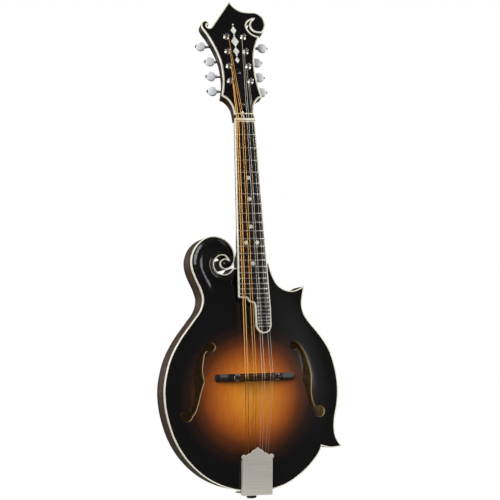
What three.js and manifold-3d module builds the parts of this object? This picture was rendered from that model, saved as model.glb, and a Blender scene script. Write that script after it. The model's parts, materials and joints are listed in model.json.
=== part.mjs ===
// A carved-top mandolin with a body scroll and two body points, built as its separate pieces.
//
// Millimetres. +X is the treble side, +Y the back, +Z up along the strings towards the headstock.
// The origin is on the centreline, at the nut, in the plane of the body's front edge.
import * as THREE from "three";
import { mergeVertices } from "three/addons/utils/BufferGeometryUtils.js";
import Module from "manifold-3d";

const wasm = await Module();
wasm.setup();

// ---------------------------------------------------------------- driving dimensions

const SCALE_LENGTH = 352; // nut to saddle
const FRETS = 22;
const GAP = 0.3; // between pieces that touch

const NECK_ANGLE = THREE.MathUtils.degToRad(4.41); // fingerboard to body edge plane
const BOARD_RISE = 4.44; // fingerboard face in front of the body's edge plane, at the nut
const BOARD_THICK = 5.2;
const HEAD_ANGLE = THREE.MathUtils.degToRad(18); // headstock face to body edge plane
const HEAD_FACE_Y = -2.94; // where the headstock face starts behind the nut
const HEAD_FACE_Z = 4;

const BODY_DEPTH = 46; // edge to edge
const PLATE_THICK = 4;
const TOP_ARCH = 16;
const BACK_ARCH = 14;
const BINDING_WIDTH = 1.5;
const BINDING_DEPTH = 6;
const RIM_THICK = 2;
const NECK_JOINT_Z = -203.5;
const TAIL_Z = -508.4;
const HEAD_BLOCK_Z = -238;
const LINING_DEPTH = 8;

const BRIDGE_Z = -353.5;
const BRIDGE_POST_X = 28;
const BRIDGE_BASE_FRONT = 22.3; // heights in front of the body's edge plane
const WHEEL_BACK = 24;
const WHEEL_THICK = 2.2;
const SADDLE_BACK = 26.5;
const SADDLE_FRONT = 34.3;

const TAIL_SLOPE = THREE.MathUtils.degToRad(7); // tailpiece to body edge plane
const TAIL_ORIGIN = new THREE.Vector3(0, -1, -509);
const TAIL_HOOK_Z = 39.4; // in the tailpiece's own frame
const COVER_HEIGHT = 7.6;
const COVER_END = -3;
const END_PIN_Y = 23;
const END_PIN_BORE = 4.4; // radius

const POST_SPACING = 23.78;
const FIRST_POST_X = 14.8; // the post nearest the nut, on the headstock face
const FIRST_POST_Z = 57.1;
const ROW_SPLAY = THREE.MathUtils.degToRad(1.93);
const POST_RADIUS = 2.9;
const POST_WAIST = 2.1; // radius where the string is wound
const POST_TOP = 8; // in front of the headstock face
const POST_BORE = 3.4; // radius
const HEAD_THICK = 16;
const OVERLAY_THICK = 2;
const TUNER_PLATE_THICK = 1.2;
const GEAR_Y = 20.2; // middle of gear and worm, behind the headstock face
const GEAR_TEETH = 14;
const GEAR_PITCH_RADIUS = 3.9;
const WORM_PITCH = (2 * Math.PI * GEAR_PITCH_RADIUS) / GEAR_TEETH;
const WORM_DROP = 5.8; // worm axis from post axis
const BUTTON_RADIUS = 7;
const BUTTON_REACH = [21, 21, 21, 32.8]; // post axis to button centre, from the nut upwards

const COURSE_AT_NUT = 7.25; // between the courses' centres
const COURSE_AT_SADDLE = 11.85;
const PAIR_AT_NUT = 2.6;
const PAIR_AT_SADDLE = 3.4;
const HOOK_X = [3.4, 7.2, 11.4, 15];
// one string of each course, bass to treble
const STRING_DIAMETER = [1.0, 0.66, 0.4, 0.3];
const WINDING_HEIGHT = 3.8; // in front of the headstock face

// ---------------------------------------------------------------- materials

const material = (color, roughness, metalness = 0) =>
  new THREE.MeshStandardMaterial({ color, roughness, metalness });

const LACQUER_TOP = material(0xb9711f, 0.15);
const LACQUER_DARK = material(0x241008, 0.15);
const BLACK_GLOSS = material(0x0b0a0a, 0.12);
const BARE_SPRUCE = material(0xd9b98a, 0.7);
const EBONY = material(0x17120f, 0.45);
const CREAM = material(0xeee3bd, 0.35);
const BONE = material(0xe9e2cf, 0.4);
const BLACK_PLASTIC = material(0x0d0d0e, 0.25);
const NICKEL = material(0xc9c6bd, 0.28, 1);
const STEEL = material(0xb8b9bb, 0.3, 1);
const BRASS = material(0xb08a4a, 0.35, 1);
const BRONZE = material(0xb07b48, 0.35, 1);
const PEARL = material(0xdfe0e6, 0.2);

// ---------------------------------------------------------------- solids and frames

const v2 = (x, y) => new THREE.Vector2(x, y);

/** A closed three.js geometry as a manifold-3d solid. */
function solidOf(geometry) {
  const bare = geometry.clone();
  bare.deleteAttribute("normal");
  bare.deleteAttribute("uv");
  const merged = mergeVertices(bare, 1e-4);
  return new wasm.Manifold(
    new wasm.Mesh({
      numProp: 3,
      vertProperties: merged.attributes.position.array,
      triVerts: new Uint32Array(merged.index.array),
    }),
  );
}

/** A manifold-3d solid as a three.js geometry. */
function geometryOf(solid) {
  const mesh = solid.getMesh();
  const geometry = new THREE.BufferGeometry();
  geometry.setAttribute("position", new THREE.BufferAttribute(mesh.vertProperties, 3));
  geometry.setIndex(new THREE.BufferAttribute(mesh.triVerts, 1));
  geometry.computeVertexNormals();
  return geometry;
}

const join = (first, ...others) => others.reduce((sum, one) => sum.add(one), first);
const cut = (first, ...others) => others.reduce((rest, one) => rest.subtract(one), first);

/** An outline in X and Z, given thickness along Y. */
function slab(outline, yFront, yBack, segments = 12) {
  const shape = Array.isArray(outline) ? new THREE.Shape(outline) : outline;
  const geometry = new THREE.ExtrudeGeometry(shape, {
    depth: yBack - yFront,
    bevelEnabled: false,
    curveSegments: segments,
  });
  return geometry.rotateX(Math.PI / 2).translate(0, yBack, 0);
}

/** An outline in Y and Z, given thickness along X. */
function slice(outline, xLow, xHigh) {
  const geometry = new THREE.ExtrudeGeometry(new THREE.Shape(outline), {
    depth: xHigh - xLow,
    bevelEnabled: false,
  });
  // the outline's X becomes Y, its Y becomes Z, and the depth becomes X
  const turn = new THREE.Matrix4().set(0, 0, 1, xLow, 1, 0, 0, 0, 0, 1, 0, 0, 0, 0, 0, 1);
  return geometry.applyMatrix4(turn);
}

/** A box from its lowest corner to its highest. */
function block(low, high) {
  const size = high.map((value, axis) => value - low[axis]);
  const middle = high.map((value, axis) => (value + low[axis]) / 2);
  return new THREE.BoxGeometry(...size).translate(...middle);
}

/** A round bar along Y. */
function pinY(radius, yFront, yBack, x, z, sides = 8) {
  const geometry = new THREE.CylinderGeometry(radius, radius, yBack - yFront, sides);
  return geometry.translate(x, (yFront + yBack) / 2, z);
}

/** A round bar along Z. */
function pinZ(radius, zLow, zHigh, x, y, sides = 12) {
  const geometry = new THREE.CylinderGeometry(radius, radius, zHigh - zLow, sides);
  return geometry.rotateX(Math.PI / 2).translate(x, y, (zLow + zHigh) / 2);
}

/** A round bar along X. */
function pinX(radius, xLow, xHigh, y, z, sides = 8) {
  const geometry = new THREE.CylinderGeometry(radius, radius, xHigh - xLow, sides);
  return geometry.rotateZ(Math.PI / 2).translate((xLow + xHigh) / 2, y, z);
}

/** A smooth curve through points, as a polyline without its last point. */
function stretch(points, divisions) {
  const curve = new THREE.SplineCurve(points.map(([x, z]) => v2(x, z)));
  return curve.getPoints(divisions).slice(0, -1);
}

/** A closed outline moved inwards by a distance, with its sharpest corners clipped. */
function inset(outline, distance) {
  const sign = THREE.ShapeUtils.isClockWise(outline) ? -1 : 1;
  const sharpest = 1.8; // longest corner, as a multiple of the distance
  return outline.map((point, i) => {
    const before = outline.at(i - 1);
    const after = outline[(i + 1) % outline.length];
    const along1 = point.clone().sub(before).normalize();
    const along2 = after.clone().sub(point).normalize();
    const inward1 = v2(-along1.y, along1.x);
    const inward2 = v2(-along2.y, along2.x);
    const corner = inward1.clone().add(inward2);
    corner.divideScalar(Math.max(0.05, 1 + inward1.dot(inward2)));
    corner.clampLength(0, sharpest);
    return point.clone().addScaledVector(corner, sign * distance);
  });
}

const root = new THREE.Group();
root.name = "mandolin";

function frame(parent, position, rotationX = 0) {
  const group = new THREE.Group();
  group.position.copy(position);
  group.rotation.x = rotationX;
  parent.add(group);
  group.updateMatrixWorld(true);
  return group;
}

// In the neck's frame the fingerboard's face is y = 0; in the headstock's, the overlay's face is.
const neckFrame = frame(root, new THREE.Vector3(0, -BOARD_RISE, 0), -NECK_ANGLE);
const headFrame = frame(root, new THREE.Vector3(0, HEAD_FACE_Y, HEAD_FACE_Z), -HEAD_ANGLE);
const tailFrame = frame(root, TAIL_ORIGIN, TAIL_SLOPE);

/** Adds one named piece, made of a geometry or a solid, to a frame. */
function piece(name, shape, look, parent = root) {
  const geometry = shape.isBufferGeometry ? shape : geometryOf(shape);
  const mesh = new THREE.Mesh(geometry, look.clone());
  mesh.name = name;
  parent.add(mesh);
  return mesh;
}

/** A geometry drawn in a frame, as a solid in the object's frame. */
const solidIn = (group, geometry) => solidOf(geometry.clone().applyMatrix4(group.matrixWorld));

/** A point of a frame in the object's frame. */
const pointIn = (group, x, y, z) => new THREE.Vector3(x, y, z).applyMatrix4(group.matrixWorld);

// ---------------------------------------------------------------- body outlines, in X and Z

// Round the slot behind the scroll, from the neck to the slot's tip.
const SLOT_WALL = [
  [-22.5, -205], [-28.5, -210.4], [-36, -212], [-44.8, -208.8], [-49.2, -200],
  [-47.4, -191.4], [-40.4, -186.2], [-33, -186.8], [-28, -192.7],
];
// Round the scroll's button, over the scroll and down the bass side to the tail.
const BASS_SIDE = [
  [-28, -192.7], [-34, -190.2], [-39.6, -194], [-40.4, -199.6], [-36.8, -204.2],
  [-30.6, -204.8], [-24, -200.6], [-20, -191.5], [-20.9, -180], [-27, -169],
  [-38, -161.6], [-51, -159.3], [-63.8, -163.8], [-75, -174.6], [-80.8, -189],
  [-80.6, -203], [-76, -217], [-69.4, -232], [-66.2, -246], [-70.3, -261],
  [-82, -276.8], [-99.5, -299.8], [-113.5, -325], [-121.5, -352.5], [-123.6, -376],
  [-120.5, -403.5], [-110.8, -435], [-94.5, -462.5], [-71, -485.5], [-44, -500.2],
  [-14, -507.9], [0, TAIL_Z],
];
const TREBLE_TAIL = [
  [0, TAIL_Z], [14, -507.6], [32.5, -504], [50.2, -497], [72.9, -481.3], [88, -465.4],
  [94, -456.4], [96.4, -450.2],
];
// The lower point's underside, its outer edge up to the upper point, and the cutaway.
const POINT_UNDERSIDE = [[96.4, -450.2], [103.6, -452.4], [112, -453.5], [126, -452]];
const TREBLE_SIDE = [
  [126, -452], [118.4, -441], [115.8, -428], [117, -412], [121.4, -391.8], [123, -370],
  [120.6, -346.8], [112.8, -319.4], [99.8, -298], [80.6, -273.8], [74.9, -258],
  [75.6, -246], [79, -229.6],
];
const CUTAWAY = [
  [79, -229.6], [67, -234.9], [58, -236], [48.4, -233.2], [39.6, -226.4], [33.2, -214.6],
  [29.6, -203], [28.2, -197.8],
];
const NECK_SHOULDER = [v2(28.2, -197.8), v2(23, -196.6), v2(22.8, NECK_JOINT_Z), v2(-22.5, NECK_JOINT_Z)];

const BODY_OUTLINE = [
  ...stretch(SLOT_WALL, 10),
  ...stretch(BASS_SIDE, 42),
  ...stretch(TREBLE_TAIL, 8),
  ...stretch(POINT_UNDERSIDE, 3),
  ...stretch(TREBLE_SIDE, 14),
  ...stretch(CUTAWAY, 8),
  ...NECK_SHOULDER,
];

// The sound chamber: inside the rim, past the head block, with the two body points left solid.
const CHAMBER_OUTLINE = stretch(
  [
    [20, HEAD_BLOCK_Z], [-18, HEAD_BLOCK_Z], [-50, -240], [-61, -249], [-68.5, -266],
    [-95.5, -301], [-110, -326], [-120.2, -372], [-117.2, -403], [-91, -461], [-68.4, -483],
    [-40, -498], [0, -505.2], [40, -497.6], [69, -480.6], [90, -456.4], [102, -436],
    [112, -412], [118.4, -387], [119.4, -367], [109.2, -320], [77, -276.5], [71, -258],
    [66, -246], [50, -240.5], [20, HEAD_BLOCK_Z],
  ],
  36,
);

/** How far a carved plate stands out from its edge at a place on the body, as a share of its arch. */
function archShare(x, z) {
  const middleZ = -372;
  const reach = z > middleZ ? 175 : 130;
  const along = (z - middleZ) / reach;
  const halfWidth = 113 - 30 * Math.max(0, along);
  const q = (x / halfWidth) ** 2 + along ** 2;
  return q < 1 ? (1 - q) ** 1.5 : 0;
}
const topFront = (x, z) => TOP_ARCH * archShare(x, z);

// ---------------------------------------------------------------- body

/** A slab over the whole body, bowed along Y as a carved plate is. */
function archedSlab(yFront, yBack, arch) {
  const width = 264;
  const length = 364;
  const middle = [0, (yFront + yBack) / 2, -334];
  const geometry = new THREE.BoxGeometry(width, yBack - yFront, length, 10, 1, 14);
  geometry.translate(...middle);
  const place = geometry.attributes.position;
  for (let i = 0; i < place.count; i++) {
    place.setY(i, place.getY(i) + arch * archShare(place.getX(i), place.getZ(i)));
  }
  return solidOf(geometry);
}

/** One f-hole's outline, on the bass side for side -1 and the treble side for side 1. */
function soundHole(side) {
  const eye = (x, z, radius) => {
    const shape = new THREE.Shape();
    shape.absarc(side * x, z, radius, 0, 2 * Math.PI);
    return shape;
  };
  const outer = [
    [61, -305.4], [69.5, -312], [76, -323], [80.6, -336], [83.2, -352], [83.4, -368],
    [83.6, -384], [88, -396], [95, -400],
  ];
  const inner = [
    [92, -410], [82.6, -400], [77.6, -386], [73, -371], [70.2, -357], [69.4, -343],
    [69.2, -330], [67, -320], [61.4, -314.6],
  ];
  const stem = [...stretch(outer, 12), ...stretch(inner, 12)].map((p) => v2(side * p.x, p.y));
  return [eye(59, -311.4, 6.5), eye(94, -402.6, 8.2), stem];
}

function makeBody() {
  const plateOutline = inset(BODY_OUTLINE, BINDING_WIDTH + GAP);
  const bindingHole = inset(BODY_OUTLINE, BINDING_WIDTH);
  const past = 40; // how far cutting tools run past a surface

  const soundHoles = [-1, 1].flatMap((side) =>
    soundHole(side).map((outline) => solidOf(slab(outline, -past, past, 6))),
  );
  const topOutline = solidOf(slab(plateOutline, -past, past));
  const top = archedSlab(0, PLATE_THICK, -TOP_ARCH).intersect(topOutline);
  piece("top_plate", cut(top, ...soundHoles), LACQUER_TOP);

  // the back has no binding, so its plate runs out to the body's edge
  const backOutline = solidOf(slab(BODY_OUTLINE, 0, BODY_DEPTH + past));
  const back = archedSlab(BODY_DEPTH - PLATE_THICK, BODY_DEPTH, BACK_ARCH);
  piece("back_plate", back.intersect(backOutline), LACQUER_DARK);

  const ring = solidOf(slab(BODY_OUTLINE, 0, BINDING_DEPTH));
  const ringHole = solidOf(slab(bindingHole, -past, past));
  piece("top_binding", cut(ring, ringHole), CREAM);

  const upperPart = solidOf(block([-100, -past, HEAD_BLOCK_Z - 8], [34, past * 2, -100]));
  const upperInside = solidOf(slab(inset(BODY_OUTLINE, RIM_THICK), -past, past * 2));
  const chamber = solidOf(slab(CHAMBER_OUTLINE, -past, past * 2));
  const pinHole = solidOf(pinZ(END_PIN_BORE, TAIL_Z - 9, TAIL_Z + 22, 0, END_PIN_Y));
  const rim = solidOf(slab(BODY_OUTLINE, BINDING_DEPTH + GAP, BODY_DEPTH - PLATE_THICK - GAP));
  piece("rim", cut(rim, upperInside.intersect(upperPart), chamber, pinHole), LACQUER_DARK);

  const insideFront = PLATE_THICK + GAP;
  const insideBack = BODY_DEPTH - insideFront;
  const headPart = solidOf(block([-100, -past, HEAD_BLOCK_Z + GAP], [34 - GAP, past * 2, -100]));
  const headCore = solidOf(slab(inset(BODY_OUTLINE, RIM_THICK + GAP), insideFront, insideBack));
  piece("head_block", headCore.intersect(headPart), BARE_SPRUCE);

  const liningWidth = 4.5;
  const liningHole = solidOf(slab(inset(CHAMBER_OUTLINE, GAP + liningWidth), -past, past * 2));
  const headSpace = solidOf(block([-200, -past, HEAD_BLOCK_Z - 12], [200, past * 2, 0]));
  const lining = (yFront, yBack) => {
    const band = solidOf(slab(inset(CHAMBER_OUTLINE, GAP), yFront, yBack));
    return cut(band, liningHole, headSpace);
  };
  piece("top_lining", lining(insideFront, insideFront + LINING_DEPTH), BARE_SPRUCE);
  piece("back_lining", lining(insideBack - LINING_DEPTH, insideBack), BARE_SPRUCE);

  const blockFront = insideFront + LINING_DEPTH + GAP;
  const insideRim = solidOf(slab(inset(CHAMBER_OUTLINE, GAP), blockFront, BODY_DEPTH - blockFront));
  const tailPart = solidOf(block([-24, 0, TAIL_Z], [24, BODY_DEPTH, TAIL_Z + 22]));
  piece("tail_block", cut(insideRim.intersect(tailPart), pinHole), BARE_SPRUCE);
}

/** A brace glued under the top, along the line from one end to the other. */
function toneBar(name, [xHigh, zHigh], [xLow, zLow]) {
  const halfWidth = 3;
  const depth = 7;
  const steps = 10;
  const geometry = new THREE.BoxGeometry(1, 1, 1, 1, 1, steps);
  const place = geometry.attributes.position;
  for (let i = 0; i < place.count; i++) {
    const t = place.getZ(i) + 0.5;
    const x = THREE.MathUtils.lerp(xLow, xHigh, t) + 2 * halfWidth * place.getX(i);
    const z = THREE.MathUtils.lerp(zLow, zHigh, t);
    const underside = PLATE_THICK + 2 * GAP - topFront(x, z);
    const taper = 0.35 + 0.65 * Math.sin(Math.PI * t);
    const y = underside + (place.getY(i) > 0 ? depth * taper : 0);
    place.setXYZ(i, x, y, z);
  }
  piece(name, geometry, BARE_SPRUCE);
}

// ---------------------------------------------------------------- neck and headstock

// The headstock's outline in its own frame, from the nut's treble end round to its bass end.
const HALF_NUT = 14.3;
const HEAD_TREBLE = [[29, 34.6], [26.4, 47], [24.2, 65], [24.1, 83], [25.3, 98], [28.6, 112], [36.6, 131.2]];
const HEAD_SLOT_OUTER = [
  [36.6, 131.2], [30.8, 132.7], [25, 136.3], [20.9, 142.4], [19.9, 149.4], [23.4, 155.6], [31.3, 159.9],
];
const HEAD_SLOT_INNER = [
  [31.3, 159.9], [26.6, 155.4], [24.6, 149.4], [26.4, 142.8], [32, 138.4], [41.4, 137.4],
];
const HEAD_SCROLL = [
  [41.4, 137.4], [45.6, 142.6], [48.4, 151], [47, 161], [42, 167.6], [34.7, 171.2], [24.2, 171.2],
  [14, 173], [5.6, 178.4], [-1.5, 188.4],
];
const HEAD_CURL = [
  [-32.5, 144.3], [-35.4, 143.2], [-38.4, 145.8], [-37.6, 148.4], [-35, 149.4], [-35.2, 153],
  [-39.4, 155.2], [-44.4, 152.8], [-46.8, 147.6], [-45, 140.8], [-39.2, 130.6], [-34.2, 119.4],
  [-28.6, 104], [-25.2, 90], [-24, 75], [-24.6, 56], [-29, 34.6],
];
const EAR = [[-29, 34.6], [-23, 30.8], [-18.3, 24.8], [-15.2, 16.6], [-HALF_NUT, 5]];
const mirrored = (points) => points.map(([x, z]) => [-x, z]).reverse();

const HEAD_OUTLINE = [
  v2(-HALF_NUT, 0),
  v2(HALF_NUT, 0),
  ...stretch(mirrored(EAR), 5),
  ...stretch(HEAD_TREBLE, 6),
  ...stretch(HEAD_SLOT_OUTER, 8),
  ...stretch(HEAD_SLOT_INNER, 7),
  ...stretch(HEAD_SCROLL, 11),
  v2(-1.5, 188.4),
  ...stretch(HEAD_CURL, 17),
  ...stretch(EAR, 5),
];

/** Tuning post centres on the headstock face: four up each side, leaning towards the middle. */
function postPlace(side, index) {
  const along = index * POST_SPACING;
  const x = FIRST_POST_X - along * Math.sin(ROW_SPLAY);
  return [side * x, FIRST_POST_Z + along * Math.cos(ROW_SPLAY)];
}
const SIDES = [-1, 1];
const EACH_POST = [0, 1, 2, 3];
const ALL_POSTS = SIDES.flatMap((side) => EACH_POST.map((index) => postPlace(side, index)));

/** Half the fingerboard's width at a distance down from the nut. */
const halfBoard = (down) => HALF_NUT + down * 0.0302;

// Past the body joint the bass side stops first and the treble side runs on as a tongue.
const BOARD_FULL = 246.5;
const BOARD_END = 295.2;
function boardOutline() {
  const bass = -halfBoard(BOARD_FULL);
  const treble = halfBoard(262);
  const shape = new THREE.Shape();
  shape.moveTo(-HALF_NUT, 0);
  shape.lineTo(bass, -BOARD_FULL + 3);
  shape.quadraticCurveTo(bass, -BOARD_FULL, bass + 3, -BOARD_FULL);
  shape.lineTo(-11, -BOARD_FULL);
  shape.bezierCurveTo(-8.6, -BOARD_FULL, -9.6, -252.8, -4.6, -252.8);
  shape.bezierCurveTo(-1, -252.8, 0.6, -254, 0.6, -260);
  shape.lineTo(0.6, -285);
  shape.bezierCurveTo(1.6, -290.4, 5.4, -BOARD_END, 11.4, -BOARD_END);
  shape.bezierCurveTo(18, -BOARD_END, 21.6, -290, treble - 0.2, -283);
  shape.lineTo(treble, -262);
  shape.lineTo(HALF_NUT, 0);
  return shape.getPoints(4);
}

/** The distance of a fret from the nut. */
const fretDown = (number) => SCALE_LENGTH * (1 - 2 ** (-number / 12));

function makeNeck() {
  const shaftBack = 200;
  const shaft = new THREE.Shape();
  shaft.absarc(0, 0, 1, 0, Math.PI);
  const length = shaftBack + 6;
  const shaftGeometry = new THREE.ExtrudeGeometry(shaft, {
    depth: length,
    steps: 3,
    bevelEnabled: false,
    curveSegments: 5,
  });
  shaftGeometry.translate(0, 0, -shaftBack);
  const place = shaftGeometry.attributes.position;
  const neckFace = BOARD_THICK + GAP;
  for (let i = 0; i < place.count; i++) {
    const down = -place.getZ(i);
    const depth = 14.6 + 3.4 * (down / shaftBack);
    place.setX(i, place.getX(i) * halfBoard(Math.max(0, down)));
    place.setY(i, neckFace + place.getY(i) * depth);
  }

  // the neck's face, under the fingerboard, at a height in the object's frame
  const faceY = (z) => -(BOARD_RISE - z * Math.tan(NECK_ANGLE)) + neckFace / Math.cos(NECK_ANGLE);
  const heelEnd = NECK_JOINT_Z + GAP;
  const heelBack = BODY_DEPTH - GAP;
  const heelSide = [
    v2(faceY(heelEnd), heelEnd),
    v2(heelBack, heelEnd),
    v2(heelBack, -189),
    v2(34, -187),
    v2(22, -180),
    v2(12, -168),
    v2(5, -150),
    v2(faceY(-150) + 1, -150),
  ];
  const heel = slice(heelSide, -20.4, 20.4);
  const heelPlace = heel.attributes.position;
  for (let i = 0; i < heelPlace.count; i++) {
    const narrowing = 1 - 0.42 * THREE.MathUtils.clamp((heelPlace.getY(i) + 15) / 61, 0, 1);
    heelPlace.setX(i, heelPlace.getX(i) * narrowing);
  }

  // the raised part of the neck that carries the fingerboard over the top plate
  const riserSide = [
    v2(faceY(heelEnd) + 2, heelEnd + 1),
    v2(faceY(heelEnd), heelEnd + 1),
    v2(faceY(-288), -288),
    v2(-16, -288),
    v2(-6, HEAD_BLOCK_Z),
    v2(-1.4, heelEnd - 2),
    v2(-1.4, heelEnd + 1),
  ];
  const riser = solidOf(slice(riserSide, -19, 19));
  const riserPlan = solidIn(neckFrame, slab(inset(boardOutline(), 2), -30, 60));

  const core = solidIn(headFrame, slab(HEAD_OUTLINE, OVERLAY_THICK + GAP, HEAD_THICK));
  const postHoles = ALL_POSTS.map(([x, z]) => solidIn(headFrame, pinY(POST_BORE, -1, HEAD_THICK + 1, x, z)));
  const rodChannel = solidIn(neckFrame, block([-3.4, neckFace - 1, -182], [3.4, 13.2, 18]));
  const rodPocket = solidIn(headFrame, block([-5, -1, 4], [5, 9, 32]));
  // nothing of the headstock stands in front of the neck's face below the nut
  const front = solidIn(neckFrame, block([-40, -20, -30], [40, neckFace, 4]));
  const solid = join(solidIn(neckFrame, shaftGeometry), solidOf(heel), core);
  const whole = cut(solid, front).add(riser.intersect(riserPlan));
  piece("neck", cut(whole, ...postHoles, rodChannel, rodPocket), LACQUER_DARK);
}

function makeHeadstockFace() {
  const bindingWidth = 1.2;
  // the face starts behind the nut, whose own foot stands on the neck
  const above = block([-60, -10, 5.5], [60, 30, 200]);
  const inner = solidOf(slab(inset(HEAD_OUTLINE, bindingWidth + GAP), 0, OVERLAY_THICK));
  const holes = ALL_POSTS.map(([x, z]) => solidOf(pinY(POST_BORE + 0.2, -1, OVERLAY_THICK + 1, x, z)));
  const pocket = solidOf(block([-5, -1, 4], [5, 9, 32]));
  piece("headstock_overlay", cut(inner.intersect(solidOf(above)), ...holes, pocket), BLACK_GLOSS, headFrame);

  const outer = solidOf(slab(HEAD_OUTLINE, 0, OVERLAY_THICK));
  const hole = solidOf(slab(inset(HEAD_OUTLINE, bindingWidth), -1, OVERLAY_THICK + 1));
  const edge = cut(outer, hole).intersect(solidOf(above));
  piece("headstock_binding", edge, CREAM, headFrame);

  const cover = new THREE.Shape();
  cover.moveTo(-4.2, 75);
  cover.bezierCurveTo(-4.6, 58, -7, 44, -9.6, 30);
  cover.bezierCurveTo(-10.8, 22, -9, 15, 0, 14);
  cover.bezierCurveTo(9, 15, 10.8, 22, 9.6, 30);
  cover.bezierCurveTo(7, 44, 4.6, 58, 4.2, 75);
  cover.quadraticCurveTo(0, 77.5, -4.2, 75);
  piece("truss_rod_cover", slab(cover, -GAP - 1.5, -GAP, 5), BLACK_PLASTIC, headFrame);
}

function makeFingerboard() {
  const bindingWidth = 1.5;
  const outline = boardOutline();
  const board = solidOf(slab(inset(outline, bindingWidth + GAP), 0, BOARD_THICK));
  const frets = [];
  for (let number = 1; number <= FRETS; number++) {
    const down = fretDown(number);
    const reach = halfBoard(down) - bindingWidth - 2 * GAP;
    const bass = down > BOARD_FULL - 4 ? 3 : -reach;
    frets.push(solidOf(block([bass, -1, -down - 0.6], [reach, 0.5, -down + 0.6])));
  }
  piece("fingerboard", join(board, ...frets), EBONY, neckFrame);
  const ring = solidOf(slab(outline, 0, BOARD_THICK));
  const hole = solidOf(slab(inset(outline, bindingWidth), -1, BOARD_THICK + 1));
  const nutSide = solidOf(block([-40, -5, -400], [40, 20, -0.2]));
  const binding = cut(ring, hole).intersect(nutSide);
  piece("fingerboard_binding", binding, CREAM, neckFrame);

  const nutThick = 3.4;
  const nut = block([-HALF_NUT, -1.1, GAP], [HALF_NUT, BOARD_THICK, GAP + nutThick]);
  piece("nut", nut, BONE, neckFrame);
}

function makeTrussRod() {
  const rodY = 9.5;
  const rod = pinZ(2.4, -180, 13, 0, rodY, 10);
  const hexNut = pinZ(3, 9, 15, 0, rodY, 6);
  piece("truss_rod", join(solidOf(rod), solidOf(hexNut)), STEEL, neckFrame);
}

// ---------------------------------------------------------------- bridge

function makeBridge() {
  const halfLength = 56;
  const halfWidth = 5.2;
  const steps = 14;
  const base = new THREE.BoxGeometry(1, 1, 1, steps, 1, 1);
  const place = base.attributes.position;
  for (let i = 0; i < place.count; i++) {
    const share = 2 * place.getX(i);
    const x = share * halfLength;
    const foot = topFront(x, BRIDGE_Z - halfWidth * Math.sign(place.getZ(i))) + 2 * GAP;
    // level between the posts, then a hollow slope down to the thin ends
    const slope = THREE.MathUtils.smoothstep(Math.abs(x), 33, halfLength);
    const crest = THREE.MathUtils.lerp(BRIDGE_BASE_FRONT, topFront(halfLength, BRIDGE_Z) + 4.5, slope);
    const height = place.getY(i) < 0 ? crest : foot;
    place.setXYZ(i, x, -height, BRIDGE_Z + 2 * halfWidth * place.getZ(i));
  }
  const postTop = SADDLE_BACK + 4.5;
  const posts = SIDES.map((side) =>
    solidOf(pinY(1.5, -postTop, 2 - BRIDGE_BASE_FRONT, side * BRIDGE_POST_X, BRIDGE_Z, 10)),
  );
  piece("bridge_base", join(solidOf(base), ...posts), EBONY);

  const saddleHalf = 32;
  const shoulder = -SADDLE_BACK - 5;
  const saddleSide = new THREE.Shape();
  saddleSide.moveTo(-saddleHalf, -SADDLE_BACK);
  saddleSide.lineTo(-saddleHalf, shoulder);
  saddleSide.quadraticCurveTo(-29, -SADDLE_FRONT, -23, -SADDLE_FRONT);
  saddleSide.lineTo(23, -SADDLE_FRONT);
  saddleSide.quadraticCurveTo(29, -SADDLE_FRONT, saddleHalf, shoulder);
  saddleSide.lineTo(saddleHalf, -SADDLE_BACK);
  const halfThick = 3.4;
  const saddle = new THREE.ExtrudeGeometry(saddleSide, {
    depth: 2 * halfThick,
    bevelEnabled: false,
    curveSegments: 4,
  });
  // the sides lean in to a narrow crest under the strings
  const saddlePlace = saddle.attributes.position;
  for (let i = 0; i < saddlePlace.count; i++) {
    const rise = (-saddlePlace.getY(i) - SADDLE_BACK) / (SADDLE_FRONT - SADDLE_BACK);
    const lean = THREE.MathUtils.lerp(1, 0.26, Math.max(0, rise));
    saddlePlace.setZ(i, BRIDGE_Z + (saddlePlace.getZ(i) - halfThick) * lean);
  }
  const wheelBore = 1.9;
  const sockets = SIDES.map((side) =>
    solidOf(pinY(wheelBore, -postTop - 2, 1 - SADDLE_BACK, side * BRIDGE_POST_X, BRIDGE_Z)),
  );
  piece("bridge_saddle", cut(solidOf(saddle), ...sockets), EBONY);

  for (const side of SIDES) {
    const x = side * BRIDGE_POST_X;
    const rim = pinY(4.8, -WHEEL_BACK - WHEEL_THICK, -WHEEL_BACK, x, BRIDGE_Z, 14);
    const bore = pinY(wheelBore, -WHEEL_BACK - WHEEL_THICK - 1, 1 - WHEEL_BACK, x, BRIDGE_Z);
    const name = side < 0 ? "bridge_thumbwheel_bass" : "bridge_thumbwheel_treble";
    piece(name, cut(solidOf(rim), solidOf(bore)), BRASS);
  }
}

// ---------------------------------------------------------------- tailpiece

/** The cover's outline in the tailpiece's frame: straight sides, round ears and a stepped crest. */
function coverOutline() {
  const half = [
    [21, COVER_END], [21, 45], [21.2, 46.4], [22.8, 48.6], [22.2, 51.4], [19.6, 53], [17, 52.2],
    [15.6, 50.8], [14.4, 53], [11.4, 54.6], [9.4, 55], [7, 58], [4, 59.6], [2.2, 60.6], [0, 62.6],
  ];
  return [...half.map(([x, z]) => v2(x, z)), ...half.slice(0, -1).reverse().map(([x, z]) => v2(-x, z))];
}

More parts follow.
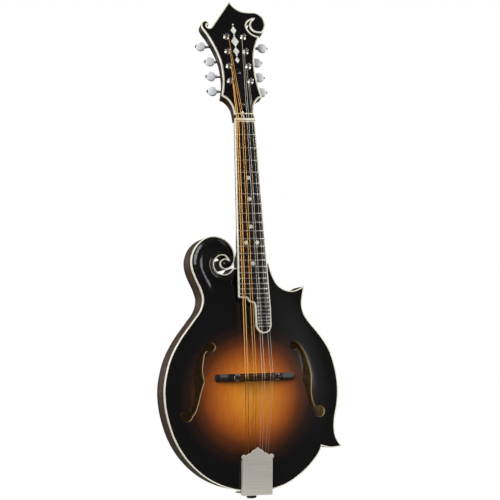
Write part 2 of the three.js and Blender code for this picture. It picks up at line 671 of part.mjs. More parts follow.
function makeTailpiece() {
  const baseThick = 1.4;
  const plate = solidOf(block([-19.4, -baseThick, 0.4], [19.4, 0, 47]));
  const hooks = SIDES.flatMap((side) =>
    HOOK_X.map((x) => solidOf(block([side * x - 0.7, -4.6, 38], [side * x + 0.7, -1, TAIL_HOOK_Z - GAP]))),
  );
  const slope = solidIn(tailFrame, geometryOf(join(plate, ...hooks)));
  const endLow = TAIL_Z - 1.5;
  const endPlate = solidOf(block([-19.4, -3.2, endLow], [19.4, 31, endLow + 1.2]));
  const flange = solidOf(block([-24, 4, endLow], [24, 31, endLow + 1.2]));
  const pinHole = solidOf(pinZ(END_PIN_BORE, TAIL_Z - 9, TAIL_Z + 22, 0, END_PIN_Y));
  piece("tailpiece_base", cut(join(slope, endPlate, flange), pinHole), NICKEL);

  const wall = 1;
  const outline = coverOutline();
  const skirt = solidOf(slab(outline, -COVER_HEIGHT, 0));
  const hollow = solidOf(slab(inset(outline, wall), wall - COVER_HEIGHT, 20));
  const crestOpen = solidOf(block([-30, wall - COVER_HEIGHT, 44], [30, 20, 80]));
  const endWall = solidOf(block([-21, -COVER_HEIGHT, COVER_END], [21, 6, COVER_END + 0.9]));
  const cover = cut(skirt, hollow, crestOpen).add(endWall);
  piece("tailpiece_cover", cover, NICKEL, tailFrame);
}

function makeEndPin() {
  const headBottom = TAIL_Z - 10.1;
  const profile = [
    [0, headBottom], [5.6, headBottom], [7, headBottom + 1.4], [7, headBottom + 3.2],
    [3.6, headBottom + 5], [4.6, TAIL_Z - 1.9], [4, TAIL_Z - 1.7], [3.8, TAIL_Z + 17],
    [0, TAIL_Z + 17],
  ];
  const turned = new THREE.LatheGeometry(profile.map(([r, z]) => v2(r, z)), 12);
  piece("end_pin", turned.rotateX(Math.PI / 2).translate(0, END_PIN_Y, 0), BLACK_PLASTIC);
}

// ---------------------------------------------------------------- tuners

/** A gear's outline round the origin, with a space between two teeth pointing along -Z. */
function gearOutline() {
  const points = [];
  const rootRadius = GEAR_PITCH_RADIUS - 0.5;
  const tipRadius = GEAR_PITCH_RADIUS + 0.4;
  const profile = [[rootRadius, -0.105], [tipRadius, -0.05], [tipRadius, 0.05], [rootRadius, 0.105]];
  for (let tooth = 0; tooth < GEAR_TEETH; tooth++) {
    const middle = ((tooth + 0.5) * 2 * Math.PI) / GEAR_TEETH - Math.PI / 2;
    for (const [radius, offset] of profile) {
      points.push(v2(radius * Math.cos(middle + offset), radius * Math.sin(middle + offset)));
    }
  }
  return points;
}

/** The worm: one thread wound round the shaft, its crest at x = 0 where it faces +Z. */
function wormThread() {
  const turns = 2;
  const perTurn = 7;
  const steps = turns * perTurn;
  const rootRadius = 1.2;
  const crestRadius = 2.25;
  const section = [[rootRadius, -0.42], [crestRadius, -0.18], [crestRadius, 0.18], [rootRadius, 0.42]];
  const positions = [];
  for (let i = 0; i <= steps; i++) {
    const turn = i / perTurn - turns / 2;
    const angle = turn * 2 * Math.PI;
    for (const [radius, offset] of section) {
      positions.push(turn * WORM_PITCH + offset, -radius * Math.sin(angle), radius * Math.cos(angle));
    }
  }
  const index = [];
  for (let i = 0; i < steps; i++) {
    for (let k = 0; k < 4; k++) {
      const a = 4 * i + k;
      const b = 4 * i + ((k + 1) % 4);
      index.push(a, a + 4, b, b, a + 4, b + 4);
    }
  }
  const last = 4 * steps;
  index.push(0, 1, 2, 0, 2, 3, last, last + 2, last + 1, last, last + 3, last + 2);
  const geometry = new THREE.BufferGeometry();
  geometry.setAttribute("position", new THREE.Float32BufferAttribute(positions, 3));
  geometry.setIndex(index);
  return geometry;
}

/** Four tuners and their plate, drawn for the treble side with +X outwards and mirrored for bass. */
function makeTunerRow(side) {
  const row = new THREE.Group();
  row.position.set(side * FIRST_POST_X, 0, FIRST_POST_Z);
  row.scale.x = side;
  row.rotation.y = -side * ROW_SPLAY;
  headFrame.add(row);

  const plateFront = HEAD_THICK + GAP;
  const plateBack = plateFront + TUNER_PLATE_THICK;
  const rowEnd = 3 * POST_SPACING;
  let plate = solidOf(block([-7.5, plateFront, -13], [8, plateBack, rowEnd + 8]));
  for (const index of EACH_POST) {
    const z = index * POST_SPACING;
    const wormZ = z - WORM_DROP;
    const bore = solidOf(pinX(1.75, -9, 9, GEAR_Y, wormZ));
    for (const [low, high] of [[-6.6, -4.4], [4.4, 6.6]]) {
      const lug = solidOf(block([low, plateFront + 0.4, wormZ - 3], [high, GEAR_Y + 2.9, wormZ + 3]));
      plate = plate.add(lug);
    }
    plate = cut(plate, bore, solidOf(pinY(POST_BORE, plateFront - 1, plateBack + 1, 0, z)));

    const number = side < 0 ? 4 - index : 5 + index;
    const gearHalf = 1.2;
    const postProfile = [
      [0, -POST_TOP], [2.2, -POST_TOP], [POST_RADIUS, 0.8 - POST_TOP], [POST_RADIUS, -5.8],
      [POST_WAIST, -5.2], [POST_WAIST, -2.6], [POST_RADIUS, -2], [POST_RADIUS, GEAR_Y], [0, GEAR_Y],
    ];
    const post = new THREE.LatheGeometry(postProfile.map(([r, y]) => v2(r, y)), 8);
    const gear = slab(gearOutline(), GEAR_Y - gearHalf, GEAR_Y + gearHalf);
    const screw = pinY(2.2, GEAR_Y, GEAR_Y + gearHalf + 0.9, 0, 0, 8);
    const postSolid = join(solidOf(post), solidOf(gear), solidOf(screw));
    piece(`tuner_post_${number}`, geometryOf(postSolid).translate(0, 0, z), NICKEL, row);

    const reach = BUTTON_REACH[index];
    const shaft = solidOf(pinX(1.4, -7.4, reach - BUTTON_RADIUS - GAP, 0, 0));
    const worm = geometryOf(join(shaft, solidOf(wormThread())));
    piece(`tuner_shaft_${number}`, worm.translate(0, GEAR_Y, wormZ), STEEL, row);

    const button = new THREE.CylinderGeometry(BUTTON_RADIUS, BUTTON_RADIUS, 5, 12);
    const screwTip = solidOf(pinX(1.6, BUTTON_RADIUS - 1, BUTTON_RADIUS + 1.8, 0, 0, 8));
    const buttonSolid = solidOf(button).add(screwTip);
    piece(`tuner_button_${number}`, geometryOf(buttonSolid).translate(reach, GEAR_Y, wormZ), PEARL, row);
  }
  piece(side < 0 ? "tuner_plate_bass" : "tuner_plate_treble", plate, NICKEL, row);
}

// ---------------------------------------------------------------- strings

/** A route whose even steps fall exactly on its own points. */
class CornerRoute extends THREE.Curve {
  constructor(points) {
    super();
    this.points = points;
  }
  getPoint(t, target = new THREE.Vector3()) {
    const place = THREE.MathUtils.clamp(t, 0, 1) * (this.points.length - 1);
    const i = Math.min(Math.floor(place), this.points.length - 2);
    return target.lerpVectors(this.points[i], this.points[i + 1], place - i);
  }
  getPointAt(u, target) {
    return this.getPoint(u, target);
  }
  getTangentAt(u, target) {
    return this.getTangent(u, target);
  }
}

/** The four courses of two, from the tailpiece's hooks over saddle and nut to the tuning posts. */
function makeStrings() {
  // each string's post: the inner courses go to the posts further from the nut
  const POST_OF_STRING = [0, 1, 2, 3, 3, 2, 1, 0];
  for (let i = 0; i < 8; i++) {
    const side = i < 4 ? -1 : 1;
    const course = Math.floor(i / 2);
    const half = (i % 2) - 0.5;
    const radius = STRING_DIAMETER[course] / 2;
    const hookX = side * HOOK_X[i < 4 ? 3 - i : i - 4];
    const saddleX = (course - 1.5) * COURSE_AT_SADDLE + half * PAIR_AT_SADDLE;
    const nutX = (course - 1.5) * COURSE_AT_NUT + half * PAIR_AT_NUT;
    const postIndex = POST_OF_STRING[i];
    const [postX, postZ] = postPlace(side, postIndex);
    const winding = POST_RADIUS + GAP + radius;
    const points = [
      pointIn(tailFrame, hookX, -4, TAIL_HOOK_Z + radius),
      new THREE.Vector3(saddleX, -SADDLE_FRONT - GAP - radius, BRIDGE_Z),
      pointIn(neckFrame, nutX, -1.1 - GAP - radius, 4),
      pointIn(headFrame, postX - side * winding, -WINDING_HEIGHT, postZ - 1.5),
      pointIn(headFrame, postX - side * winding, -WINDING_HEIGHT, postZ + 1.5),
    ];
    const section = new THREE.Shape();
    section.absarc(0, 0, radius, 0, 2 * Math.PI);
    const tube = new THREE.ExtrudeGeometry(section, {
      steps: points.length - 1,
      extrudePath: new CornerRoute(points),
      curveSegments: 3,
    });
    piece(`string_${i + 1}`, tube, course < 2 ? BRONZE : STEEL);
  }
}

makeBody();
toneBar("tone_bar_bass", [-21, -292], [-33, -452]);
toneBar("tone_bar_treble", [21, -292], [27, -452]);
makeNeck();
makeHeadstockFace();
makeFingerboard();
makeTrussRod();
makeBridge();
makeTailpiece();
makeEndPin();
SIDES.forEach(makeTunerRow);
makeStrings();

export default root;
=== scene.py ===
import json
import math

import bmesh
import bpy
import numpy as np
from mathutils import Matrix, Vector
from mathutils.geometry import delaunay_2d_cdt


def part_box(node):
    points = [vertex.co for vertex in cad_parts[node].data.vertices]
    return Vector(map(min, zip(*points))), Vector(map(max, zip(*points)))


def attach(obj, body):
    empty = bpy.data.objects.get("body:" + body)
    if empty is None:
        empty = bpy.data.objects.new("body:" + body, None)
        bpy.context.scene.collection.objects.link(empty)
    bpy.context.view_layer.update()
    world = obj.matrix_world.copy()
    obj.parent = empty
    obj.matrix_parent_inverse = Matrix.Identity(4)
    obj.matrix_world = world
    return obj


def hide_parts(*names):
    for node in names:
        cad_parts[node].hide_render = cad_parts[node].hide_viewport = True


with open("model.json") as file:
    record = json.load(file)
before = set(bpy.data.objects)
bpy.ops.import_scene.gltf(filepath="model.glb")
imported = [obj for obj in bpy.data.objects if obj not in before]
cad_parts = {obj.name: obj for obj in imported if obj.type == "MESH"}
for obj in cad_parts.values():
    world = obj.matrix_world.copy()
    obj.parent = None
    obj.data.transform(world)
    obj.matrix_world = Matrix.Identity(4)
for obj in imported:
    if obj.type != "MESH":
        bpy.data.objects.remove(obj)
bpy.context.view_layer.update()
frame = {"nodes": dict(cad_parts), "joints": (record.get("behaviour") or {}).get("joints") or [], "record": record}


def mm(*values):
    """Millimetres as metres: one number, or an array of points."""
    made = np.array(values[0] if len(values) == 1 else values, float) / 1000
    return float(made) if made.ndim == 0 else made


def halfway(node, axis):
    """Halfway across a CAD node, along an axis numbered 0 to 2."""
    low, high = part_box(node)
    return (low[axis] + high[axis]) / 2


def front_and_back(node):
    """How far in front of the origin a CAD node reaches, and how far in front its back is."""
    low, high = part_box(node)
    return -low.y, -high.y


# ---------------------------------------------------------------- driving dimensions, as in the CAD

JOINTS = {joint["name"]: joint for joint in frame["joints"]}
NECK_AXIS = Vector(JOINTS["truss_rod_turn"]["axis"])
POST_AXIS = Vector(JOINTS["tuner_5_post_turn"]["axis"])
SLIDE_AXIS = Vector(JOINTS["tailpiece_cover_slide"]["axis"])
POST_ROW = Vector(JOINTS["tuner_8_post_turn"]["pos_m"]) - Vector(JOINTS["tuner_5_post_turn"]["pos_m"])

NECK_ANGLE = math.atan2(NECK_AXIS.y, NECK_AXIS.z)
BOARD_RISE = mm(4.44)
BOARD_THICK = mm(5.2)
HEAD_ANGLE = math.atan2(-POST_AXIS.z, POST_AXIS.y)
HEAD_START = mm(0, -2.94, 4)
HEAD_THICK = mm(16)
OVERLAY_THICK = mm(2)
SCALE_LENGTH = mm(352)

PLATE_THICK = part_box("top_plate")[1].y
BODY_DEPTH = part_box("back_plate")[0].y + PLATE_THICK
TOP_ARCH = mm(16)
BACK_ARCH = mm(14)
BINDING_WIDTH = mm(1.5)
BINDING_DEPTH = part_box("top_binding")[1].y
TAIL_Z = mm(-508.4)

BRIDGE_Z = halfway("bridge_base", 2)
BRIDGE_POST_X = halfway("bridge_thumbwheel_treble", 0)
BRIDGE_BASE_FRONT = mm(22.3)
WHEEL_FRONT, WHEEL_BACK = front_and_back("bridge_thumbwheel_treble")
SADDLE_FRONT, SADDLE_BACK = front_and_back("bridge_saddle")

TAIL_SLOPE = math.atan2(SLIDE_AXIS.y, -SLIDE_AXIS.z)
TAIL_ORIGIN = mm(0, -1, -509)
COVER_HEIGHT = mm(7.6)
COVER_END = mm(-3)
END_PIN_Y = halfway("end_pin", 1)
HOOK_Z = mm(39.4)

POST_SPACING = POST_ROW.length / 3
FIRST_POST = mm(14.8, 57.1)
ROW_SPLAY = math.asin(-POST_ROW.x / POST_ROW.length)
POST_RADIUS = mm(2.9)
POST_WAIST = mm(2.1)
WINDING_Y = mm(-3.8)
GEAR_Y = mm(20.2)
GEAR_TEETH = 14
GEAR_PITCH_RADIUS = mm(3.9)
WORM_PITCH = 2 * math.pi * GEAR_PITCH_RADIUS / GEAR_TEETH
WORM_DROP = mm(5.8)
BUTTON_RADIUS = mm(7)
BUTTON_REACH = mm([21, 21, 21, 32.8])

COURSE_AT_NUT = mm(7.25)
COURSE_AT_SADDLE = mm(11.85)
PAIR_AT_NUT = mm(2.6)
PAIR_AT_SADDLE = mm(3.4)
HOOK_X = mm([3.4, 7.2, 11.4, 15])
STRING_RADIUS = mm([0.5, 0.33, 0.2, 0.15])
CLEAR = mm(0.3)
HALF_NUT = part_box("nut")[1].x

NECK = Matrix.Translation((0, -BOARD_RISE, 0)) @ Matrix.Rotation(-NECK_ANGLE, 4, "X")
HEAD = Matrix.Translation(HEAD_START) @ Matrix.Rotation(-HEAD_ANGLE, 4, "X")
TAIL = Matrix.Translation(TAIL_ORIGIN) @ Matrix.Rotation(TAIL_SLOPE, 4, "X")
SIDES = (-1, 1)


def row_frame(side):
    """The frame of one side's tuners: +X outwards, so the bass side's is mirrored."""
    place = Matrix.Translation((side * FIRST_POST[0], 0, FIRST_POST[1]))
    return HEAD @ place @ Matrix.Rotation(-side * ROW_SPLAY, 4, "Y") @ Matrix.Diagonal((side, 1, 1, 1))


# ---------------------------------------------------------------- outlines, in X and Z


def smooth(points, spacing=mm(1)):
    """A curve through points, as close points without the last one."""
    p = np.array(points, float)
    p = np.vstack([p[:1], p, p[-1:]])
    made = []
    for a, b, c, d in zip(p, p[1:], p[2:], p[3:]):
        count = max(2, int(np.linalg.norm(c - b) / spacing))
        t = (np.arange(count) / count)[:, None]
        v, w = (c - a) / 2, (d - b) / 2
        made.append((2 * b - 2 * c + v + w) * t**3 + (3 * c - 3 * b - 2 * v - w) * t**2 + v * t + b)
    return np.vstack(made)


def bezier(a, b, c, d, count=10):
    """A cubic Bezier curve without its last point."""
    a, b, c, d = (np.array(p, float) for p in (a, b, c, d))
    t = (np.arange(count) / count)[:, None]
    return a * (1 - t) ** 3 + 3 * b * t * (1 - t) ** 2 + 3 * c * t**2 * (1 - t) + d * t**3


def circle(x, z, radius, count=40):
    angle = np.arange(count) * 2 * math.pi / count
    return np.stack([x + radius * np.cos(angle), z + radius * np.sin(angle)], 1)


def area(loop):
    x, z = loop.T
    return np.sum(x * np.roll(z, -1) - np.roll(x, -1) * z) / 2


def wound(loop):
    """The loop, running anticlockwise."""
    return loop if area(loop) > 0 else loop[::-1]


def moved(loop, distance):
    """Each point of a closed loop moved to the loop's left."""
    sharpest = 1.8  # longest corner, as a multiple of the distance
    normals = []
    for side in (loop - np.roll(loop, 1, 0), np.roll(loop, -1, 0) - loop):
        left = np.stack([-side[:, 1], side[:, 0]], 1)
        normals.append(left / np.linalg.norm(left, axis=1)[:, None])
    corner = normals[0] + normals[1]
    corner /= np.maximum(0.05, 1 + np.sum(normals[0] * normals[1], 1))[:, None]
    length = np.linalg.norm(corner, axis=1)[:, None]
    return loop + distance * corner * np.minimum(1, sharpest / np.maximum(length, 1e-9))


def distance_to(points, loop):
    """How far each point is from a closed loop."""
    start, along = loop, np.roll(loop, -1, 0) - loop
    length2 = np.maximum(np.sum(along**2, 1), 1e-18)
    found = []
    for chunk in np.array_split(points, max(1, len(points) // 1000)):
        off = chunk[:, None] - start[None]
        share = np.clip(np.sum(off * along, 2) / length2, 0, 1)
        found.append(np.linalg.norm(off - share[..., None] * along, axis=2).min(1))
    return np.concatenate(found)


def inset(loop, distance):
    """A closed loop moved inwards, without the points that fold over at its corners."""
    loop = wound(loop)
    inner = moved(loop, distance)
    kept = 0.96  # share of the distance under which a point has folded over
    return inner[distance_to(inner, loop) > kept * distance]


def inside(points, loop):
    x, z = points[:, :1], points[:, 1:]
    (x1, z1), (x2, z2) = loop.T, np.roll(loop, -1, 0).T
    crosses = (z1 > z) != (z2 > z)
    at = x1 + (z - z1) * (x2 - x1) / np.where(z2 == z1, 1e-12, z2 - z1)
    return (crosses & (x < at)).sum(1) % 2 == 1


def triangulated(loops, spare):
    """The points and triangles of the Delaunay mesh that holds the loops' edges."""
    points, edges = [], []
    for loop in loops:
        first, count = len(points), len(loop)
        points += [Vector(p) for p in loop]
        edges += [(first + i, first + (i + 1) % count) for i in range(count)]
    points += [Vector(p) for p in spare]
    made = delaunay_2d_cdt(points, edges, [], 0, 1e-9)
    return np.array([tuple(p) for p in made[0]]), np.array(made[2]), made[3]


def union(loops):
    """The outline round several overlapping loops."""
    points, triangles, _ = triangulated(loops, [])
    centres = points[triangles].mean(1)
    covered = np.any([inside(centres, loop) for loop in loops], 0)
    following = {}
    edges = {(a, b) for t in triangles[covered].tolist() for a, b in zip(t, t[1:] + t[:1])}
    for a, b in edges:
        if (b, a) not in edges:
            following[a] = b
    start = next(iter(following))
    chain = [start]
    while following[chain[-1]] != start:
        chain.append(following[chain[-1]])
    return points[chain]


# Round the slot behind the scroll, from the neck to the slot's tip.
SLOT_WALL = mm([
    [-22.5, -205], [-28.5, -210.4], [-36, -212], [-44.8, -208.8], [-49.2, -200],
    [-47.4, -191.4], [-40.4, -186.2], [-33, -186.8], [-28, -192.7],
])
# Round the scroll's button, over the scroll and down the bass side to the tail.
BASS_SIDE = mm([
    [-28, -192.7], [-34, -190.2], [-39.6, -194], [-40.4, -199.6], [-36.8, -204.2],
    [-30.6, -204.8], [-24, -200.6], [-20, -191.5], [-20.9, -180], [-27, -169],
    [-38, -161.6], [-51, -159.3], [-63.8, -163.8], [-75, -174.6], [-80.8, -189],
    [-80.6, -203], [-76, -217], [-69.4, -232], [-66.2, -246], [-70.3, -261],
    [-82, -276.8], [-99.5, -299.8], [-113.5, -325], [-121.5, -352.5], [-123.6, -376],
    [-120.5, -403.5], [-110.8, -435], [-94.5, -462.5], [-71, -485.5], [-44, -500.2],
    [-14, -507.9], [0, -508.4],
])
TREBLE_TAIL = mm([
    [0, -508.4], [14, -507.6], [32.5, -504], [50.2, -497], [72.9, -481.3], [88, -465.4],
    [94, -456.4], [96.4, -450.2],
])
# The lower point's underside, its outer edge up to the upper point, and the cutaway.
POINT_UNDERSIDE = mm([[96.4, -450.2], [103.6, -452.4], [112, -453.5], [126, -452]])
TREBLE_SIDE = mm([
    [126, -452], [118.4, -441], [115.8, -428], [117, -412], [121.4, -391.8], [123, -370],
    [120.6, -346.8], [112.8, -319.4], [99.8, -298], [80.6, -273.8], [74.9, -258],
    [75.6, -246], [79, -229.6],
])
CUTAWAY = mm([
    [79, -229.6], [67, -234.9], [58, -236], [48.4, -233.2], [39.6, -226.4], [33.2, -214.6],
    [29.6, -203], [28.2, -197.8],
])
NECK_SHOULDER = mm([[28.2, -197.8], [23, -196.6], [22.8, -203.5], [-22.5, -203.5]])
BODY = wound(np.vstack([
    *(smooth(p) for p in (SLOT_WALL, BASS_SIDE, TREBLE_TAIL, POINT_UNDERSIDE, TREBLE_SIDE, CUTAWAY)),
    NECK_SHOULDER,
]))

# The headstock in its own frame, from the nut's treble end round to its bass end.
EAR = mm([[-29, 34.6], [-23, 30.8], [-18.3, 24.8], [-15.2, 16.6], [-14.3, 5]])
HEAD_TREBLE = mm([
    [29, 34.6], [26.4, 47], [24.2, 65], [24.1, 83], [25.3, 98], [28.6, 112], [36.6, 131.2],
])
HEAD_SLOT_OUTER = mm([
    [36.6, 131.2], [30.8, 132.7], [25, 136.3], [20.9, 142.4], [19.9, 149.4], [23.4, 155.6],
    [31.3, 159.9],
])
HEAD_SLOT_INNER = mm([
    [31.3, 159.9], [26.6, 155.4], [24.6, 149.4], [26.4, 142.8], [32, 138.4], [41.4, 137.4],
])
HEAD_SCROLL = mm([
    [41.4, 137.4], [45.6, 142.6], [48.4, 151], [47, 161], [42, 167.6], [34.7, 171.2],
    [24.2, 171.2], [14, 173], [5.6, 178.4], [-1.5, 188.4],
])
HEAD_CURL = mm([
    [-32.5, 144.3], [-35.4, 143.2], [-38.4, 145.8], [-37.6, 148.4], [-35, 149.4], [-35.2, 153],
    [-39.4, 155.2], [-44.4, 152.8], [-46.8, 147.6], [-45, 140.8], [-39.2, 130.6], [-34.2, 119.4],
    [-28.6, 104], [-25.2, 90], [-24, 75], [-24.6, 56], [-29, 34.6],
])


def head_outline(start):
    """The headstock's outline, cut straight across at a distance from the nut."""
    fine = mm(0.7)
    stretches = [EAR[::-1] * (-1, 1), HEAD_TREBLE, HEAD_SLOT_OUTER, HEAD_SLOT_INNER, HEAD_SCROLL]
    return np.vstack([
        [[-HALF_NUT, start], [HALF_NUT, start]],
        *(smooth(p, fine) for p in stretches),
        mm([[-1.5, 188.4], [-12, 173.2], [-22.3, 158.6]]),
        smooth(HEAD_CURL, fine),
        smooth(EAR, fine),
    ])


def half_board(down):
    return HALF_NUT + down * 0.0302


BOARD_FULL = mm(246.5)
BOARD_END = mm(295.2)


def board_outline():
    """The fingerboard: past the body joint only its treble side runs on, as a tongue."""
    bass, treble = -half_board(BOARD_FULL), half_board(mm(262))
    full, end, corner = -BOARD_FULL, -BOARD_END, mm(3)
    step_x, step_z = mm(-4.6), mm(-252.8)
    tongue = mm(0.6)
    return np.vstack([
        [[-HALF_NUT, 0]],
        bezier(
            (bass, full + corner), (bass, full + corner / 3),
            (bass + corner / 3, full), (bass + corner, full),
        ),
        bezier(mm(-11, -246.5), mm(-8.6, -246.5), mm(-9.6, -252.8), (step_x, step_z)),
        bezier((step_x, step_z), mm(-1, -252.8), (tongue, mm(-254)), (tongue, mm(-260))),
        bezier((tongue, mm(-285)), mm(1.6, -290.4), (mm(5.4), end), (mm(11.4), end), 16),
        bezier((mm(11.4), end), (mm(18), end), mm(21.6, -290), (treble - mm(0.2), mm(-283)), 16),
        [[treble - mm(0.2), mm(-283)], [treble, mm(-262)], [HALF_NUT, 0]],
    ])


def sound_hole(side):
    """One f-hole: two round eyes and the stem between them, nicked on both sides."""
    outer_nick, inner_nick = mm(84.2, -352), mm(69.2, -358)
    stem = np.vstack([
        smooth([*mm([[61, -305.2], [69.5, -311.6], [76, -323], [80.6, -336]]), outer_nick]),
        smooth([outer_nick, *mm([[83.1, -368], [83.6, -384], [88, -396], [95, -400]])]),
        smooth([*mm([[92, -410], [82.6, -400], [77.6, -386], [73.6, -371]]), inner_nick]),
        smooth([inner_nick, *mm([[71, -343], [69.4, -330], [67, -320], [61.4, -314.6]])]),
    ])
    loops = [stem, circle(*mm(59, -311.4, 6.5)), circle(*mm(94, -402.6, 8.2))]
    outline = union([wound(loop) for loop in loops])
    return outline * (side, 1)


# ---------------------------------------------------------------- shapes


class Shape:
    """Points, faces, and the part of the surface that each face belongs to."""

    def __init__(self, points, faces, parts=None):
        self.points = np.array(points, float)
        self.faces = [tuple(int(i) for i in face) for face in faces]
        self.parts = list(parts) if parts is not None else [0] * len(self.faces)

    def placed(self, matrix):
        m = np.array(matrix)
        points = self.points @ m[:3, :3].T + m[:3, 3]
        mirrored = np.linalg.det(m[:3, :3]) < 0
        faces = [face[::-1] for face in self.faces] if mirrored else self.faces
        return Shape(points, faces, self.parts)

    def at(self, x, y, z):
        return self.placed(Matrix.Translation((x, y, z)))

    def outward(self):
        """The same shape with its faces pointing out."""
        volume = 0
        for face in self.faces:
            p = self.points[list(face)]
            volume += np.sum(np.cross(p[1:-1], p[2:]) @ p[0])
        return self if volume > 0 else Shape(self.points, [f[::-1] for f in self.faces], self.parts)


def joined(*shapes):
    points, faces, parts = [], [], []
    for shape in shapes:
        first = sum(len(p) for p in points)
        points.append(shape.points)
        faces += [tuple(i + first for i in face) for face in shape.faces]
        parts += shape.parts
    return Shape(np.vstack(points), faces, parts)


FRONT, EDGE, BACK, WALL = range(4)  # the parts of a slab's surface
ROUND_STEPS = 3


def surface(value):
    """A Y value as a function of X and Z."""
    return value if callable(value) else lambda x, z: np.full(len(x), float(value))


def rounded_levels(radius):
    """(moved in, set back) from a rounded edge's flat face out to its side."""
    if not radius:
        return [(0, 0)]
    angles = np.linspace(math.pi / 2, 0, ROUND_STEPS + 1)
    return [(radius * (1 - math.cos(a)), radius * (1 - math.sin(a))) for a in angles]


def slab(outline, front, back, holes=(), rounding=(0, 0), spacing=None):
    """A closed plate between two surfaces, with holes and rounded front and back edges."""
    loops = [wound(outline)] + [wound(hole)[::-1] for hole in holes]
    front, back = surface(front), surface(back)
    levels = [(inwards, front, away) for inwards, away in rounded_levels(rounding[0])]
    levels += [(inwards, back, -away) for inwards, away in rounded_levels(rounding[1])[::-1]]
    points, faces, parts = [], [], []
    per_level = sum(len(loop) for loop in loops)
    for inwards, face, away in levels:
        for loop in loops:
            x, z = (moved(loop, inwards) if inwards else loop).T
            points.append(np.stack([x, face(x, z) + away, z], 1))
    wall_levels = len(levels) - 1
    for level in range(wall_levels):
        first = level * per_level
        front_edge = rounding[0] and level < ROUND_STEPS
        back_edge = rounding[1] and level >= wall_levels - ROUND_STEPS
        for number, loop in enumerate(loops):
            count = len(loop)
            part = FRONT if front_edge else BACK if back_edge else WALL if number else EDGE
            for i in range(count):
                j = (i + 1) % count
                faces.append((first + i, first + j, first + per_level + j, first + per_level + i))
                parts.append(part)
            first += count
    flat = [moved(loop, levels[0][0]) if levels[0][0] else loop for loop in loops]
    spare = np.empty((0, 2))
    if spacing:
        low, high = flat[0].min(0), flat[0].max(0)
        x, z = np.meshgrid(*(np.arange(a + spacing / 2, b, spacing) for a, b in zip(low, high)))
        spare = np.stack([x.ravel(), z.ravel()], 1)
        spare = spare[inside(spare, flat[0])]
        spare = spare[np.min([distance_to(spare, loop) for loop in flat], 0) > 0.6 * spacing]
        for loop in flat[1:]:
            spare = spare[~inside(spare, loop)]
    made, triangles, origins = triangulated(flat, spare)
    centres = made[triangles].mean(1)
    filled = inside(centres, flat[0])
    for loop in flat[1:]:
        filled &= ~inside(centres, loop)
    source = np.array([found[0] if found else -1 for found in origins])
    triangles = source[triangles[filled]]
    triangles = triangles[(triangles >= 0).all(1)]
    ring_points = len(levels) * per_level
    x, z = spare.T
    points += [np.stack([x, surf(x, z), z], 1) for surf in (front, back)]
    in_front = np.where(triangles < per_level, triangles, triangles + ring_points - per_level)
    last = (len(levels) - 1) * per_level
    first_spare_behind = ring_points - per_level + len(spare)
    behind = np.where(triangles < per_level, triangles + last, triangles + first_spare_behind)
    faces += in_front[:, ::-1].tolist() + behind.tolist()
    parts += [FRONT] * len(triangles) + [BACK] * len(triangles)
    made = Shape(np.vstack(points), faces, parts)
    return consistent(made)


def consistent(shape):
    """The shape with its faces all pointing out, whichever way they were made."""
    bm = bmesh.new()
    verts = [bm.verts.new(p) for p in shape.points]
    part = bm.faces.layers.int.new("part")
    for face, number in zip(shape.faces, shape.parts):
        if len(set(face)) == len(face):
            bm.faces.new([verts[i] for i in face])[part] = number
    bmesh.ops.recalc_face_normals(bm, faces=bm.faces)
    bmesh.ops.delete(bm, geom=[v for v in bm.verts if not v.link_faces], context="VERTS")
    bm.verts.index_update()
    made = Shape(
        [tuple(v.co) for v in bm.verts],
        [[v.index for v in f.verts] for f in bm.faces],
        [f[part] for f in bm.faces],
    )
    bm.free()
    return made


def lathe(profile, segments=40):
    """A turned shape round the Y axis. Its profile, (radius, y), starts and ends on the axis or closes."""
    points, rings, faces = [], [], []
    angle = np.arange(segments) * 2 * math.pi / segments
    for radius, y in profile:
        first = len(points)
        if radius <= 0:
            points.append((0, y, 0))
            rings.append([first] * segments)
        else:
            points += [(radius * math.cos(a), y, radius * math.sin(a)) for a in angle]
            rings.append(list(range(first, first + segments)))
    pairs = list(zip(rings, rings[1:]))
    if profile[0][0] > 0:
        pairs.append((rings[-1], rings[0]))
    for one, other in pairs:
        for i in range(segments):
            j = (i + 1) % segments
            corners = [one[i], one[j], other[j], other[i]]
            face = [c for n, c in enumerate(corners) if c != corners[n - 1]]
            if len(face) > 2:
                faces.append(face)
    return Shape(points, faces).outward()


ALONG_X = Matrix.Rotation(-math.pi / 2, 4, "Z")  # a lathe's Y axis laid along +X
ALONG_Z = Matrix.Rotation(math.pi / 2, 4, "X")  # and along +Z


def tube(path, radius, sides=12):
    """A round bar along a path, with flat ends. The radius may change along it."""
    path = np.array(path, float)
    radii = np.broadcast_to(radius, len(path))
    along = np.gradient(path, axis=0)
    along /= np.linalg.norm(along, axis=1)[:, None]
    across = np.cross(along[0], (1, 0, 0) if abs(along[0][0]) < 0.9 else (0, 1, 0))
    sections = []
    for point, direction, r in zip(path, along, radii):
        across = across - direction * (across @ direction)
        across /= np.linalg.norm(across)
        other = np.cross(direction, across)
        angle = np.arange(sides) * 2 * math.pi / sides
        sections.append(point + r * (np.outer(np.cos(angle), across) + np.outer(np.sin(angle), other)))
    return loft(sections)


def loft(sections):
    """A skin over closed sections of equally many points, with flat ends."""
    count = len(sections[0])
    faces = [tuple(range(count))[::-1]]
    for k in range(len(sections) - 1):
        first = k * count
        for i in range(count):
            j = (i + 1) % count
            faces.append((first + i, first + j, first + count + j, first + count + i))
    last = (len(sections) - 1) * count
    faces.append(tuple(range(last, last + count)))
    return Shape(np.vstack(sections), faces).outward()


